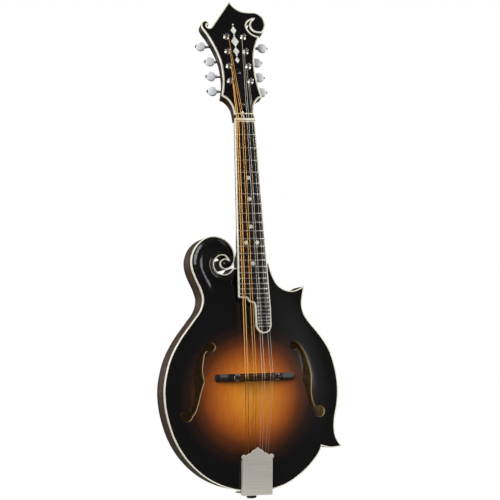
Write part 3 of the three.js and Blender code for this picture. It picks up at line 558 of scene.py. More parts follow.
def rounded_box(low, high, radius):
    """A box from corner to corner, its edges along Y and its front and back edges rounded."""
    (x0, y0, z0), (x1, y1, z1) = low, high
    corners = []
    for x, z, start in ((x1, z1, 0), (x0, z1, 1), (x0, z0, 2), (x1, z0, 3)):
        cx = x - radius if x == x1 else x + radius
        cz = z - radius if z == z1 else z + radius
        for k in range(5):
            angle = (start + k / 4) * math.pi / 2
            corners.append((cx + radius * math.cos(angle), cz + radius * math.sin(angle)))
    edge = min(radius, (y1 - y0) / 2) * 0.9
    return slab(np.array(corners), y0, y1, rounding=(edge, edge))


def box(low, high):
    """A plain cutting block."""
    corners = [(x, y, z) for x in (low[0], high[0]) for y in (low[1], high[1]) for z in (low[2], high[2])]
    faces = [(0, 1, 3, 2), (4, 6, 7, 5), (0, 4, 5, 1), (2, 3, 7, 6), (0, 2, 6, 4), (1, 5, 7, 3)]
    return Shape(corners, faces).outward()


def mesh_of(name, shape):
    mesh = bpy.data.meshes.new(name)
    mesh.from_pydata(shape.points.tolist(), [], shape.faces)
    mesh.polygons.foreach_set("material_index", shape.parts)
    return mesh


def combined(base, tools, operation):
    """A shape with others joined to it (UNION) or cut from it (DIFFERENCE)."""
    objects = []
    for shape in (base, *tools):
        mesh = mesh_of("tool", shape)
        for _ in range(4):
            mesh.materials.append(None)
        obj = bpy.data.objects.new("tool", mesh)
        bpy.context.scene.collection.objects.link(obj)
        objects.append(obj)
    for tool in objects[1:]:
        modifier = objects[0].modifiers.new("cut", "BOOLEAN")
        modifier.operation = operation
        modifier.solver = "MANIFOLD"
        modifier.object = tool
    evaluated = objects[0].evaluated_get(bpy.context.evaluated_depsgraph_get())
    mesh = evaluated.to_mesh()
    made = Shape(
        [tuple(v.co) for v in mesh.vertices],
        [tuple(f.vertices) for f in mesh.polygons],
        [f.material_index for f in mesh.polygons],
    )
    evaluated.to_mesh_clear()
    for obj in objects:
        mesh = obj.data
        bpy.data.objects.remove(obj)
        bpy.data.meshes.remove(mesh)
    return made


def slope_normals(face, points, sign):
    """The normals of the surface y = face(x, z) at some points, on its front (-1) or back (1)."""
    x, z = points[:, 0], points[:, 2]
    step = mm(0.4)
    across = (face(x + step, z) - face(x - step, z)) / (2 * step)
    along = (face(x, z + step) - face(x, z - step)) / (2 * step)
    normals = sign * np.stack([-across, np.ones(len(x)), -along], 1)
    return normals / np.linalg.norm(normals, axis=1)[:, None]


def piece(name, shape, looks, body="root", stands_for=(), crease=35, faces=None, main=0):
    """A named piece that rides on a body. looks holds one look, or one for each part of the surface.

    faces holds the carved front and back surfaces, whose own slopes then shade the piece.
    """
    looks = looks if isinstance(looks, (list, tuple)) else [looks] * 4
    mesh = mesh_of(name, shape)
    for look in looks:
        mesh.materials.append(look)
    mesh.shade_smooth()
    mesh.set_sharp_from_angle(angle=math.radians(crease))
    if faces:
        normals = {}
        for part, face, sign in ((FRONT, faces[0], -1), (BACK, faces[1], 1)):
            if face:
                normals[part] = slope_normals(face, shape.points, sign)
        given = []
        for polygon, corners in zip(shape.parts, shape.faces):
            found = normals.get(polygon)
            given += [(0, 0, 0) if found is None else tuple(found[corner]) for corner in corners]
        mesh.normals_split_custom_set(given)
    obj = bpy.data.objects.new(name, mesh)
    bpy.context.scene.collection.objects.link(obj)
    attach(obj, body)
    if stands_for:
        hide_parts(*stands_for)
    return obj


# ---------------------------------------------------------------- looks


def colour(red, green, blue):
    """A screen colour, 0 to 255, as linear light."""
    shares = [value / 255 for value in (red, green, blue)]
    return tuple(s / 12.92 if s < 0.04045 else ((s + 0.055) / 1.055) ** 2.4 for s in shares) + (1,)


class Look:
    """A material and its node tree, under construction."""

    def __init__(self, name, slot, rough, metal=0, coat=0, coat_rough=0.04):
        self.material = bpy.data.materials.new(name)
        self.material["slot"] = slot
        self.material.use_nodes = True
        self.nodes = self.material.node_tree.nodes
        self.shader = self.nodes["Principled BSDF"]
        self.set("Roughness", rough)
        self.set("Metallic", metal)
        self.set("Coat Weight", coat)
        self.set("Coat Roughness", coat_rough)
        self.set("Specular IOR Level", 0.08 if coat else 0.5)  # under a coat only the coat shines
        self.place = self.add("ShaderNodeTexCoord").outputs["Object"]

    def set(self, socket, value):
        self.shader.inputs[socket].default_value = value

    def add(self, kind, **settings):
        node = self.nodes.new(kind)
        for key, value in settings.items():
            setattr(node, key, value)
        return node

    def link(self, source, target):
        self.material.node_tree.links.new(source, target)

    def mapped(self, scale, offset=(0, 0, 0)):
        node = self.add("ShaderNodeMapping")
        node.inputs["Scale"].default_value = scale
        node.inputs["Location"].default_value = offset
        self.link(self.place, node.inputs["Vector"])
        return node.outputs["Vector"]

    def noise(self, scale, detail=3, distortion=0):
        """Noise whose grains are one unit over scale long, along each axis, in metres."""
        node = self.add("ShaderNodeTexNoise")
        node.inputs["Scale"].default_value = 1
        node.inputs["Detail"].default_value = detail
        node.inputs["Distortion"].default_value = distortion
        self.link(self.mapped(scale), node.inputs["Vector"])
        return node.outputs["Fac"]

    def math(self, operation, *values):
        node = self.add("ShaderNodeMath", operation=operation)
        for socket, value in zip(node.inputs, values):
            if isinstance(value, (int, float)):
                socket.default_value = value
            else:
                self.link(value, socket)
        return node.outputs[0]

    def ramp(self, factor, stops):
        node = self.add("ShaderNodeValToRGB")
        elements = node.color_ramp.elements
        while len(elements) < len(stops):
            elements.new(0.5)
        for element, (at, tint) in zip(elements, stops):
            element.position = at
            element.color = tint
        self.link(factor, node.inputs["Fac"])
        return node.outputs["Color"]

    def times(self, tint, other):
        node = self.add("ShaderNodeMix", data_type="RGBA", blend_type="MULTIPLY")
        node.inputs["Factor"].default_value = 1
        self.link(tint, node.inputs["A"])
        self.link(other, node.inputs["B"])
        return node.outputs["Result"]

    def paint(self, tint):
        self.link(tint, self.shader.inputs["Base Color"])

    def bump(self, height, distance):
        node = self.add("ShaderNodeBump")
        node.inputs["Distance"].default_value = distance
        self.link(height, node.inputs["Height"])
        self.link(node.outputs["Normal"], self.shader.inputs["Normal"])


def grained(name, slot, dark, light, rough, scale, metal=0, coat=0, bump=0):
    """A look with two close tints mixed by a stretched grain."""
    made = Look(name, slot, rough, metal, coat)
    grain = made.noise(scale)
    made.paint(made.ramp(grain, [(0.3, dark), (0.7, light)]))
    if bump:
        made.bump(grain, bump)
    return made.material


def sunburst(name, middle, stops, slot, grain_scale, grain_depth):
    """Lacquered wood, shaded outwards from a middle. stops holds (distance, tint)."""
    made = Look(name, slot, 0.4, coat=1, coat_rough=0.05)
    place = made.mapped((1, 0, 1), (-middle[0], 0, -middle[1]))
    length = made.add("ShaderNodeVectorMath", operation="LENGTH")
    made.link(place, length.inputs[0])
    reach = stops[-1][0]
    wander = made.math("MULTIPLY_ADD", made.noise((22, 22, 22)), 0.08, -0.04)
    share = made.math("ADD", made.math("DIVIDE", length.outputs["Value"], reach), wander)
    burst = made.ramp(share, [(distance / reach, tint) for distance, tint in stops])
    low = 1 - grain_depth
    grain = made.ramp(made.noise(grain_scale), [(0.35, (low, low, low, 1)), (0.65, (1, 1, 1, 1))])
    made.paint(made.times(burst, grain))
    return made.material


BLACK_LACQUER = colour(14, 12, 12)
TOP_LACQUER = sunburst(
    "top_sunburst", mm(-5, -378),
    [
        (mm(5), colour(240, 160, 58)), (mm(25), colour(234, 146, 44)), (mm(42), colour(210, 116, 36)),
        (mm(57), colour(162, 82, 28)), (mm(70), colour(98, 48, 19)), (mm(84), colour(44, 24, 15)),
        (mm(98), BLACK_LACQUER),
    ],
    "sunburst_top", (900, 900, 18), 0.16,
)
BACK_LACQUER = sunburst(
    "back_sunburst", mm(0, -372),
    [
        (mm(5), colour(150, 84, 34)), (mm(40), colour(122, 62, 26)), (mm(70), colour(70, 33, 18)),
        (mm(105), colour(28, 15, 12)), (mm(130), BLACK_LACQUER),
    ],
    "dark_lacquered_maple", (60, 60, 500), 0.35,
)


def figured(name, axis, start, length, stops, flame_scale, flame_low, distortion=0):
    """Lacquered maple whose tint runs along an axis, crossed by the wood's flame."""
    made = Look(name, "dark_lacquered_maple", 0.4, coat=0.6)
    split = made.add("ShaderNodeSeparateXYZ")
    made.link(made.place, split.inputs["Vector"])
    share = made.math("DIVIDE", made.math("SUBTRACT", split.outputs[axis], start), length)
    flame = made.noise(flame_scale, distortion=distortion)
    shade = made.ramp(flame, [(0.3, flame_low), (0.7, (1, 1, 1, 1))])
    made.paint(made.times(made.ramp(share, stops), shade))
    return made.material


WAVE_SCALE = 20  # radians that a wave texture of scale 1 turns through in one unit


def wound_metal(name, slot, tint, spacing):
    """Wire wound round a string: fine rings along it, a spacing apart, with painted shade in the grooves between
    the turns.
    """
    made = Look(name, slot, 0.3, metal=1)
    wave = made.add("ShaderNodeTexWave", wave_type="BANDS", bands_direction="Z")
    radians_per_metre = 2 * math.pi / spacing
    wave.inputs["Scale"].default_value = radians_per_metre / WAVE_SCALE
    made.link(made.place, wave.inputs["Vector"])
    # painted shade: each ring is darkened where the groove between two turns would lie in shade
    painted_groove_shade = tuple(0.45 * value for value in tint[:3]) + (1,)
    made.paint(made.ramp(wave.outputs["Color"], [(0.1, painted_groove_shade), (0.6, tint)]))
    return made.material


# the sides: dark at both edges and brown between
SIDE_LACQUER = figured(
    "side_lacquer", "Y", 0, BODY_DEPTH,
    [(0.1, BLACK_LACQUER), (0.36, colour(80, 54, 22)), (0.6, colour(86, 56, 22)), (0.95, BLACK_LACQUER)],
    (160, 8, 160), (0.5, 0.45, 0.4, 1), distortion=0.6,
)
# the neck and the headstock's sides: dark, with a warm glow along the middle of the shaft
NECK_LACQUER = figured(
    "neck_lacquer", "Z", mm(-230), mm(430),
    [
        (0.05, BLACK_LACQUER), (0.25, colour(84, 42, 20)), (0.42, colour(92, 46, 21)),
        (0.56, colour(40, 22, 15)), (0.64, colour(74, 38, 20)), (0.82, BLACK_LACQUER),
    ],
    (60, 60, 320), (0.55, 0.5, 0.45, 1),
)
BLACK_FACE = grained(
    "black_lacquer", "black_lacquer", colour(10, 9, 9), colour(17, 15, 15), 0.35, (40, 40, 40), coat=0.35,
)
SPRUCE = grained(
    "bare_spruce", "bare_spruce", colour(196, 160, 108), colour(224, 192, 142),
    0.7, (700, 700, 20), bump=mm(0.05),
)
BARE_MAPLE = grained(
    "bare_maple", "dark_lacquered_maple", colour(206, 190, 150), colour(228, 212, 172),
    0.7, (60, 60, 400),
)
EBONY = grained(
    "ebony", "ebony", colour(24, 20, 18), colour(46, 39, 35),
    0.38, (900, 900, 30), coat=0.25, bump=mm(0.02),
)
CREAM = grained(
    "cream_binding", "cream_binding", colour(250, 244, 220), colour(255, 252, 236),
    0.3, (50, 50, 20), coat=0.8,
)
BONE = grained(
    "bone", "bone", colour(226, 219, 196), colour(240, 234, 216),
    0.35, (300, 60, 60), coat=0.3,
)
BLACK_PLASTIC = grained(
    "black_plastic", "black_plastic", colour(16, 16, 17), colour(24, 24, 25),
    0.22, (90, 90, 90), coat=0.6,
)
WHEEL_METAL = grained(
    "thumbwheel_metal", "thumbwheel_metal", colour(206, 203, 196), colour(226, 223, 217),
    0.25, (500, 500, 500), metal=1,
)
SATIN = grained(
    "satin_nickel", "satin_nickel", colour(214, 208, 196), colour(228, 222, 210),
    0.42, (30, 30, 900), metal=0.5,
)
NICKEL = grained(
    "tuner_nickel", "tuner_nickel", colour(205, 203, 198), colour(224, 222, 216),
    0.2, (80, 80, 80), metal=1,
)
STEEL = grained(
    "steel", "steel", colour(186, 186, 186), colour(208, 208, 207),
    0.28, (900, 60, 60), metal=1,
)
PEARL = grained(
    "pearl", "pearl", colour(226, 228, 233), colour(250, 251, 253),
    0.18, (190, 260, 190), coat=0.7,
)
INLAY = grained(
    "inlay_pearl", "pearl", colour(188, 196, 190), colour(246, 243, 232),
    0.2, (420, 420, 420), coat=1,
)
WOUND = wound_metal("wound_string", "wound_string", colour(232, 178, 104), mm(1.5708))
PLAIN = grained(
    "plain_string", "plain_string", colour(214, 206, 190), colour(232, 226, 212),
    0.25, (90, 90, 90), metal=0.6,
)
DARK_DOT = grained(
    "dot_black", "black_plastic", colour(18, 17, 17), colour(26, 25, 25),
    0.3, (90, 90, 90),
)
pearl_sockets = PEARL.node_tree.nodes["Principled BSDF"].inputs
pearl_sockets["Subsurface Weight"].default_value = 0.25
pearl_sockets["Subsurface Radius"].default_value = [mm(3)] * 3


# ---------------------------------------------------------------- body

CHAMBER = wound(smooth(mm([
    [20, -238], [-18, -238], [-50, -240], [-61, -249], [-68.5, -266], [-95.5, -301], [-110, -326],
    [-120.2, -372], [-117.2, -403], [-91, -461], [-68.4, -483], [-40, -498], [0, -505.2], [40, -497.6],
    [69, -480.6], [90, -456.4], [102, -436], [112, -412], [118.4, -387], [119.4, -367], [109.2, -320],
    [77, -276.5], [71, -258], [66, -246], [50, -240.5], [20, -238],
])))
TOP_OUTLINE = inset(BODY, BINDING_WIDTH)
PLATE_GRID = mm(2.6)


def arch_share(x, z):
    """How far a carved plate stands out at a place on the body, as a share of its arch."""
    reach = np.where(z > mm(-372), mm(175), mm(130))
    along = (z - mm(-372)) / reach
    half_width = mm(113) - mm(30) * np.maximum(0, along)
    return np.maximum(0, 1 - (x / half_width) ** 2 - along**2) ** 1.5


def smoothstep(value, low, high):
    share = np.clip((value - low) / (high - low), 0, 1)
    return share * share * (3 - 2 * share)


def top_front(x, z):
    """The carved face: the arch, and round the scroll a ridge that rolls down to its binding."""
    x, z = np.asarray(x, float), np.asarray(z, float)
    from_edge = distance_to(np.stack([x, z], 1), BODY)
    ridge = smoothstep(from_edge, mm(1.5), mm(8)) * (1 - 0.75 * smoothstep(from_edge, mm(8), mm(19)))
    in_scroll = smoothstep(z, mm(-262), mm(-222)) * smoothstep(-x, mm(14), mm(24))
    return -TOP_ARCH * arch_share(x, z) - mm(3) * ridge * in_scroll


def top_back(x, z):
    return PLATE_THICK - TOP_ARCH * arch_share(x, z)


def back_front(x, z):
    return BODY_DEPTH - PLATE_THICK + BACK_ARCH * arch_share(x, z)


def back_face(x, z):
    return BODY_DEPTH + BACK_ARCH * arch_share(x, z)


def make_body():
    holes = [sound_hole(side) for side in SIDES]
    top = slab(TOP_OUTLINE, top_front, top_back, holes, spacing=PLATE_GRID)
    piece(
        "carved_top", top, [TOP_LACQUER, TOP_LACQUER, SPRUCE, SPRUCE],
        stands_for=["top_plate"], faces=(top_front, top_back),
    )
    back = slab(BODY, back_front, back_face, rounding=(0, mm(1)), spacing=PLATE_GRID)
    piece(
        "carved_back", back, [BARE_MAPLE, SIDE_LACQUER, BACK_LACQUER, BARE_MAPLE],
        stands_for=["back_plate"], faces=(back_front, None), main=BACK,
    )
    sides = slab(BODY, BINDING_DEPTH, BODY_DEPTH - PLATE_THICK, [CHAMBER])
    piece("sides", sides, [SIDE_LACQUER, SIDE_LACQUER, SIDE_LACQUER, BARE_MAPLE], stands_for=["rim"])
    binding = slab(BODY, 0, BINDING_DEPTH, [TOP_OUTLINE], rounding=(mm(0.45), 0))
    piece("edge_binding_top", binding, CREAM, stands_for=["top_binding"])


# ---------------------------------------------------------------- neck and headstock

NECK_FACE = BOARD_THICK + CLEAR
EACH_POST = range(4)


def post_place(side, index):
    """A tuning post's centre on the headstock's face."""
    along = index * POST_SPACING
    return side * (FIRST_POST[0] - along * math.sin(ROW_SPLAY)), FIRST_POST[1] + along * math.cos(ROW_SPLAY)


ALL_POSTS = [post_place(side, index) for side in SIDES for index in EACH_POST]


def face_y(z):
    """The neck's face, under the fingerboard, in front of or behind the body's edge plane."""
    return -(BOARD_RISE - z * math.tan(NECK_ANGLE)) + NECK_FACE / math.cos(NECK_ANGLE)


def make_neck():
    # how far back the neck reaches, from the headstock to the bottom of the heel
    profile = mm([
        [8, 13.4], [4, 14.4], [-4, 15.2], [-40, 13.9], [-100, 10.4], [-128, 8.2], [-142, 8.4], [-152, 10.2],
        [-161, 13.2], [-169, 17], [-176, 22], [-181, 27.4], [-185, 33.6], [-187.6, 39.4], [-189.4, 44.6],
        [-191.6, 46],
    ])
    curve = np.vstack([smooth(profile, mm(2)), [mm(-203.4, 46)]])
    sections = []
    turn = np.linspace(0, math.pi, 33)
    for z, back in curve:
        face = face_y(z)
        deep = float(smoothstep(back - face, mm(18), mm(44)))
        power = 2 / (2.1 + 1.3 * deep)
        half_width = half_board(min(max(-z, 0), mm(203)))
        across = np.sign(np.cos(turn)) * np.abs(np.cos(turn)) ** power
        depth = np.sin(turn) ** power
        narrowing = 1 - 0.36 * deep * depth
        sections.append(np.stack([
            half_width * across * narrowing, face + (back - face) * depth, np.full(len(turn), z),
        ], 1))
    shaft = loft(sections)
    core = slab(head_outline(0), OVERLAY_THICK, HEAD_THICK, rounding=(0, mm(1.6))).placed(HEAD)
    line = [NECK.inverted() @ Vector((0, *mm(y, z))) for y, z in ((-16, -288), (-6, -238), (-1.4, -203))]
    heights, places = [p.y for p in line], [p.z for p in line]

    def under(x, z):
        return np.interp(z, places, heights)

    plan = inset(board_outline(), mm(1.6))
    plan = plan[plan[:, 1] < mm(-200)]
    riser = slab(plan, NECK_FACE, under, spacing=mm(4)).placed(NECK)
    bore = lathe(mm([[0, -5], [3.4, -5], [3.4, 30], [0, 30]]), 24)
    holes = [bore.at(x, 0, z).placed(HEAD) for x, z in ALL_POSTS]
    channel = box((mm(-3.4), NECK_FACE - mm(3), mm(-182)), (mm(3.4), mm(13.2), mm(18))).placed(NECK)
    pocket = box(mm(-5, -5, 4), mm(5, 9, 32)).placed(HEAD)
    front = box((mm(-40), mm(-20), mm(-30)), (mm(40), NECK_FACE, mm(4))).placed(NECK)
    whole = combined(combined(shaft, [core], "UNION"), [front], "DIFFERENCE")
    whole = combined(whole, [riser], "UNION")
    whole = combined(whole, [*holes, channel, pocket], "DIFFERENCE")
    piece("neck_and_heel", whole, NECK_LACQUER, stands_for=["neck"], crease=32)


def make_headstock_face():
    start = mm(5.5)
    edge = wound(head_outline(start))
    face = inset(edge, mm(1.2))
    bores = [circle(x, z, mm(3.6), 28) for x, z in ALL_POSTS]
    pocket = mm([[-5, 8], [5, 8], [5, 32], [-5, 32]])
    overlay = slab(face, 0, OVERLAY_THICK, [*bores, pocket])
    put("headstock_face", overlay, BLACK_FACE, HEAD, stands_for=["headstock_overlay"])
    binding = slab(edge, 0, OVERLAY_THICK, [face])
    under_nut = box(mm(-12.8, -1, 5), mm(12.8, 3, 6.9))  # no cream line where the face meets the nut
    binding = combined(binding, [under_nut], "DIFFERENCE")
    put("headstock_edge", binding, CREAM, HEAD, stands_for=["headstock_binding"])
    purfling = slab(inset(edge, mm(1.7)), mm(-0.03), mm(0.6), [inset(edge, mm(2.1))])
    put("headstock_purfling", purfling, CREAM, HEAD)

    # a plain pearl ornament: lozenges and discs up the middle, over the truss rod cover
    lozenges = [(92, 3.2, 5.2), (106, 4.6, 7), (122, 5.6, 9), (140, 4.2, 7)]
    marks = []
    for z, half_width, half_length in lozenges:
        corners = [(half_width, z), (0, z + half_length), (-half_width, z), (0, z - half_length)]
        marks.append(slab(mm(corners), mm(-0.04), mm(0.5)))
    for z in (99.3, 131.9, 149.6):
        marks.append(slab(circle(0, mm(z), mm(1.2), 24), mm(-0.04), mm(0.5)))
    put("headstock_ornament", joined(*marks), INLAY, HEAD)

    bell = np.vstack([
        bezier(mm(-4.2, 75), mm(-4.6, 58), mm(-7, 44), mm(-9.6, 30), 16),
        bezier(mm(-9.6, 30), mm(-10.8, 22), mm(-9, 15), mm(0, 14), 16),
        bezier(mm(0, 14), mm(9, 15), mm(10.8, 22), mm(9.6, 30), 16),
        bezier(mm(9.6, 30), mm(7, 44), mm(4.6, 58), mm(4.2, 75), 16),
        bezier(mm(4.2, 75), mm(1.5, 76.3), mm(-1.5, 76.3), mm(-4.2, 75), 6),
    ])
    cover = slab(bell, mm(-1.8), mm(-0.3), rounding=(mm(0.5), 0))
    put("truss_cover", cover, BLACK_PLASTIC, HEAD, stands_for=["truss_rod_cover"])
    for name, z in (("upper", 70), ("lower", 20.7)):
        put(f"truss_cover_screw_{name}", screw(mm(1.7), mm(0.7)), NICKEL, HEAD @ at(0, mm(-1.8), mm(z)))


def at(x, y, z):
    return Matrix.Translation((x, y, z))


def put(name, shape, look, matrix, **settings):
    return piece(name, shape.placed(matrix), look, **settings)


def screw(radius, height, turn=0.6):
    """A slotted screw head on the plane y = 0, domed towards -Y."""
    dome = np.array([[0, -1], [0.5, -0.94], [0.85, -0.66], [1, -0.1], [1, 0.1], [0, 0.1]])
    head = lathe(dome * (radius, height), 24)
    half, deep = 0.13 * radius, 0.45 * height
    slot = box((-2 * radius, -2 * height, -half), (2 * radius, -deep, half))
    return combined(head, [slot.placed(Matrix.Rotation(turn, 4, "Y"))], "DIFFERENCE")


# ---------------------------------------------------------------- fingerboard and nut

FRET_COUNT = 29
DOT_FRETS = {5: (0,), 7: (0,), 10: (0,), 12: (-13, 13), 15: (0,)}


def fret_down(number):
    return SCALE_LENGTH * (1 - 2 ** (-number / 12))


def make_fingerboard():
    edge = wound(board_outline())
    inner = inset(edge, BINDING_WIDTH)
    put("fingerboard_ebony", slab(inner, 0, BOARD_THICK), EBONY, NECK, stands_for=["fingerboard"])
    ring = slab(edge, 0, BOARD_THICK, [inner], rounding=(mm(0.35), 0))
    put("fingerboard_edge", ring, CREAM, NECK, stands_for=["fingerboard_binding"])

    frets = []
    half_width, height = mm(0.8), mm(0.9)
    crown = [(math.cos(a), math.sin(a)) for a in np.linspace(0, math.pi, 9)]
    for number in range(1, FRET_COUNT + 1):
        down = fret_down(number)
        reach = half_board(min(down, mm(262))) - mm(0.3)
        bass = mm(3) if down > BOARD_FULL - mm(4) else -reach
        if down > mm(281):
            reach -= (down - mm(281)) * 0.45
            bass += (down - mm(281)) * 0.35
        sections = []
        for x, share in ((bass, 0.35), (bass + mm(0.9), 1), (reach - mm(0.9), 1), (reach, 0.35)):
            top = [(x, -height * share * s, -down + half_width * c) for c, s in crown]
            foot = [(x, mm(0.3), -down - half_width), (x, mm(0.3), -down + half_width)]
            sections.append(np.array([*top, *foot]))
        frets.append(loft(sections))
    put("frets", joined(*frets), STEEL, NECK, crease=50)

    dots, side_dots = [], []
    for number, places in DOT_FRETS.items():
        middle = -(fret_down(number) + fret_down(number - 1)) / 2
        for x in places:
            dots.append(slab(circle(mm(x) * 0.62, middle, mm(2.9), 32), mm(-0.04), mm(0.5)))
        side = -half_board(-middle)
        for k, x in enumerate(places):
            dot = lathe([(0, 0), (mm(0.9), 0), (mm(0.9), mm(0.5)), (0, mm(0.5))], 16).placed(ALONG_X)
            shift = mm(3) * (k - (len(places) - 1) / 2)
            side_dots.append(dot.at(side - mm(0.05), mm(2.6), middle + shift))
    put("position_dots", joined(*dots), INLAY, NECK)
    put("side_dots", joined(*side_dots), DARK_DOT, NECK)

    blank = rounded_box((-HALF_NUT, mm(-1.45), mm(0.3)), (HALF_NUT, BOARD_THICK, mm(3.7)), mm(0.5))
    notches = []
    for i in range(8):
        radius = STRING_RADIUS[i // 2] + mm(0.12)
        notches.append(tube([(nut_x(i), mm(-1.45), mm(-2)), (nut_x(i), mm(-1.35), mm(6))], radius, 10))
    put("nut_bone", combined(blank, notches, "DIFFERENCE"), BONE, NECK, stands_for=["nut"])


def nut_x(i):
    return (i // 2 - 1.5) * COURSE_AT_NUT + (i % 2 - 0.5) * PAIR_AT_NUT


def saddle_x(i):
    return (i // 2 - 1.5) * COURSE_AT_SADDLE + (i % 2 - 0.5) * PAIR_AT_SADDLE


# ---------------------------------------------------------------- bridge


def make_bridge():
    half_length, half_width = mm(56), mm(5.2)
    ends = float(TOP_ARCH * arch_share(half_length, BRIDGE_Z)) + mm(4.5)
    sections = []
    for x in np.linspace(-half_length, half_length, 57):
        slope = smoothstep(abs(x), mm(33), half_length)
        crest = BRIDGE_BASE_FRONT * (1 - slope) + ends * slope
        end = smoothstep(half_length - abs(x), 0, mm(3))
        width = half_width * (0.72 + 0.28 * end)
        rounding = mm(1.2)
        section = []
        for across in (-1, 1):
            z = BRIDGE_Z + across * width
            foot = float(TOP_ARCH * arch_share(x, z)) + mm(0.2)
            shoulder = [
                (x, -foot, z), (x, -crest + rounding, z),
                (x, -crest + 0.3 * rounding, z - across * 0.3 * rounding),
                (x, -crest, z - across * rounding),
            ]
            section += shoulder if across < 0 else shoulder[::-1]
        sections.append(np.array(section))
    piece("bridge_base_ebony", loft(sections), EBONY, stands_for=["bridge_base"], crease=30)

    pitch = mm(0.7)
    top = SADDLE_BACK + mm(3.9)
    for side, name in zip(SIDES, ("bass", "treble")):
        ridges = [(0, -top), (mm(1.1), -top)]
        y = -top + pitch / 2
        while y < mm(1) - BRIDGE_BASE_FRONT:
            ridges += [(mm(1.5), y), (mm(1.25), y + pitch / 2)]
            y += pitch
        post = lathe([*ridges, (0, y)], 24).at(side * BRIDGE_POST_X, 0, BRIDGE_Z)
        piece(f"bridge_post_{name}", post, WHEEL_METAL)
        angle = np.arange(112) * 2 * math.pi / 112
        radius = mm(4.8) - mm(0.28) * (np.arange(112) % 4 >= 2)
        knurl = np.stack([radius * np.cos(angle), radius * np.sin(angle)], 1)
        bore = circle(0, 0, mm(1.72), 28)
        wheel = slab(knurl, -WHEEL_FRONT, -WHEEL_BACK, [bore], rounding=(mm(0.35), mm(0.35)))
        piece(
            f"wheel_{name}", wheel.at(side * BRIDGE_POST_X, 0, BRIDGE_Z), WHEEL_METAL,
            body=f"thumbwheel_{name}", stands_for=[f"bridge_thumbwheel_{name}"],
        )

    # the crest steps back and forth under the courses, so that each plays in tune
    steps = mm([
        [-40, 0.5], [-12, 0.5], [-11.4, -0.55], [-0.3, -0.55],
        [0.3, 0.5], [11.4, 0.5], [12, -0.5], [40, -0.5],
    ])
    sections = []
    for x in np.unique(np.concatenate([np.linspace(mm(-32), mm(32), 65), steps[1:-1, 0]])):
        beyond = max(0, abs(x) - mm(23)) / mm(9)
        crest = SADDLE_FRONT - (SADDLE_FRONT - SADDLE_BACK - mm(5)) * beyond**2
        shift = -float(np.interp(x, *steps.T)) * (1 - min(1, beyond * 2))
        half = mm(3.4) * (1 - 0.12 * beyond)
        rise = (crest - SADDLE_BACK) / (SADDLE_FRONT - SADDLE_BACK)
        narrow = half * (1 - 0.74 * rise)
        low, middle = SADDLE_BACK, SADDLE_BACK + (crest - SADDLE_BACK) * 0.42
        profile = [
            (low, -half), (middle, -half * (1 - 0.2 * rise)), (crest - mm(0.5), shift - narrow),
            (crest, shift - 0.55 * narrow), (crest, shift + 0.55 * narrow),
            (crest - mm(0.5), shift + narrow), (middle, half * (1 - 0.2 * rise)), (low, half),
        ]
        sections.append(np.array([(x, -y, BRIDGE_Z + z) for y, z in profile]))
    saddle = loft(sections)
    bores = []
    for side in SIDES:
        bore = lathe(mm([[0, -6.2], [1.75, -6.2], [1.75, 1], [0, 1]]), 24)
        bores.append(bore.at(side * BRIDGE_POST_X, -SADDLE_BACK, BRIDGE_Z))
    saddle = combined(saddle, bores, "DIFFERENCE")
    piece("saddle_ebony", saddle, EBONY, body="bridge_saddle", stands_for=["bridge_saddle"], crease=30)


# ---------------------------------------------------------------- tailpiece


def cover_outline():
    """Straight sides, round ears and a stepped crest."""
    half = np.vstack([
        mm([[21, -3], [21, 45]]),
        smooth(mm([
            [21, 45], [21.2, 46.4], [22.8, 48.6], [22.2, 51.4], [19.6, 53], [17, 52.2], [15.6, 50.8],
        ]), mm(0.5))[1:],
        smooth(mm([[15.6, 50.8], [14.4, 53], [11.4, 54.6], [9.4, 55]]), mm(0.5)),
        smooth(mm([[9.4, 55], [7, 58], [4, 59.6], [2.2, 60.6], [0, 62.6]]), mm(0.5)),
        mm([[0, 62.6]]),
    ])
    return np.vstack([half, half[-2::-1] * (-1, 1)])


def make_tailpiece():
    outline = wound(cover_outline())
    wall = mm(1)
    skirt = slab(outline, -COVER_HEIGHT, 0, rounding=(mm(0.4), 0))
    hollow = slab(inset(outline, wall), wall - COVER_HEIGHT, mm(20))
    crest_open = box((mm(-30), wall - COVER_HEIGHT, mm(44)), mm(30, 20, 80))
    line_y, line_z = -COVER_HEIGHT - mm(0.1), mm(42.6)
    groove = tube([(mm(-17), line_y, line_z), (mm(17), line_y, line_z)], mm(0.55), 16)
    cover = combined(skirt, [hollow, crest_open, groove], "DIFFERENCE")
    end_wall = rounded_box(mm(-20.9, -5.9, 0), mm(20.9, 6, 0.9), mm(0.4)).at(0, 0, COVER_END)
    cover = combined(cover, [end_wall], "UNION")
    put(
        "tailpiece_lid", cover, SATIN, TAIL,
        body="tailpiece_cover", stands_for=["tailpiece_cover"], crease=40,
    )

    thick = mm(1.4)
    plate = rounded_box((mm(-19.4), -thick, mm(0.4)), mm(19.4, 0, 47), mm(0.6)).placed(TAIL)
    end = TAIL_Z - mm(1.5)
    end_plate = rounded_box(mm(-19.4, -3.2, 0), mm(19.4, 31, 1.2), mm(0.5)).at(0, 0, end)
    flange = slab(mm([
        [-22, 4], [22, 4], [22, 26], [18, 31], [-18, 31], [-22, 26],
    ]), mm(-1.2), 0, [circle(0, END_PIN_Y, mm(4.6), 32)], rounding=(mm(0.3), 0))
    flange = flange.placed(at(0, 0, end) @ Matrix.Rotation(-math.pi / 2, 4, "X"))
    hooks = []
    for side in SIDES:
        for x in HOOK_X:
            path = [(side * x, y, z) for y, z in mm([[-0.8, 33], [-1.6, 36.4], [-3, 38.2], [-4.6, 38.7]])]
            hooks.append(tube(smooth_path(path), mm(0.62), 10).placed(TAIL))
    whole = joined(plate, end_plate, flange, *hooks)
    piece("tailpiece_plate", whole, SATIN, stands_for=["tailpiece_base"])


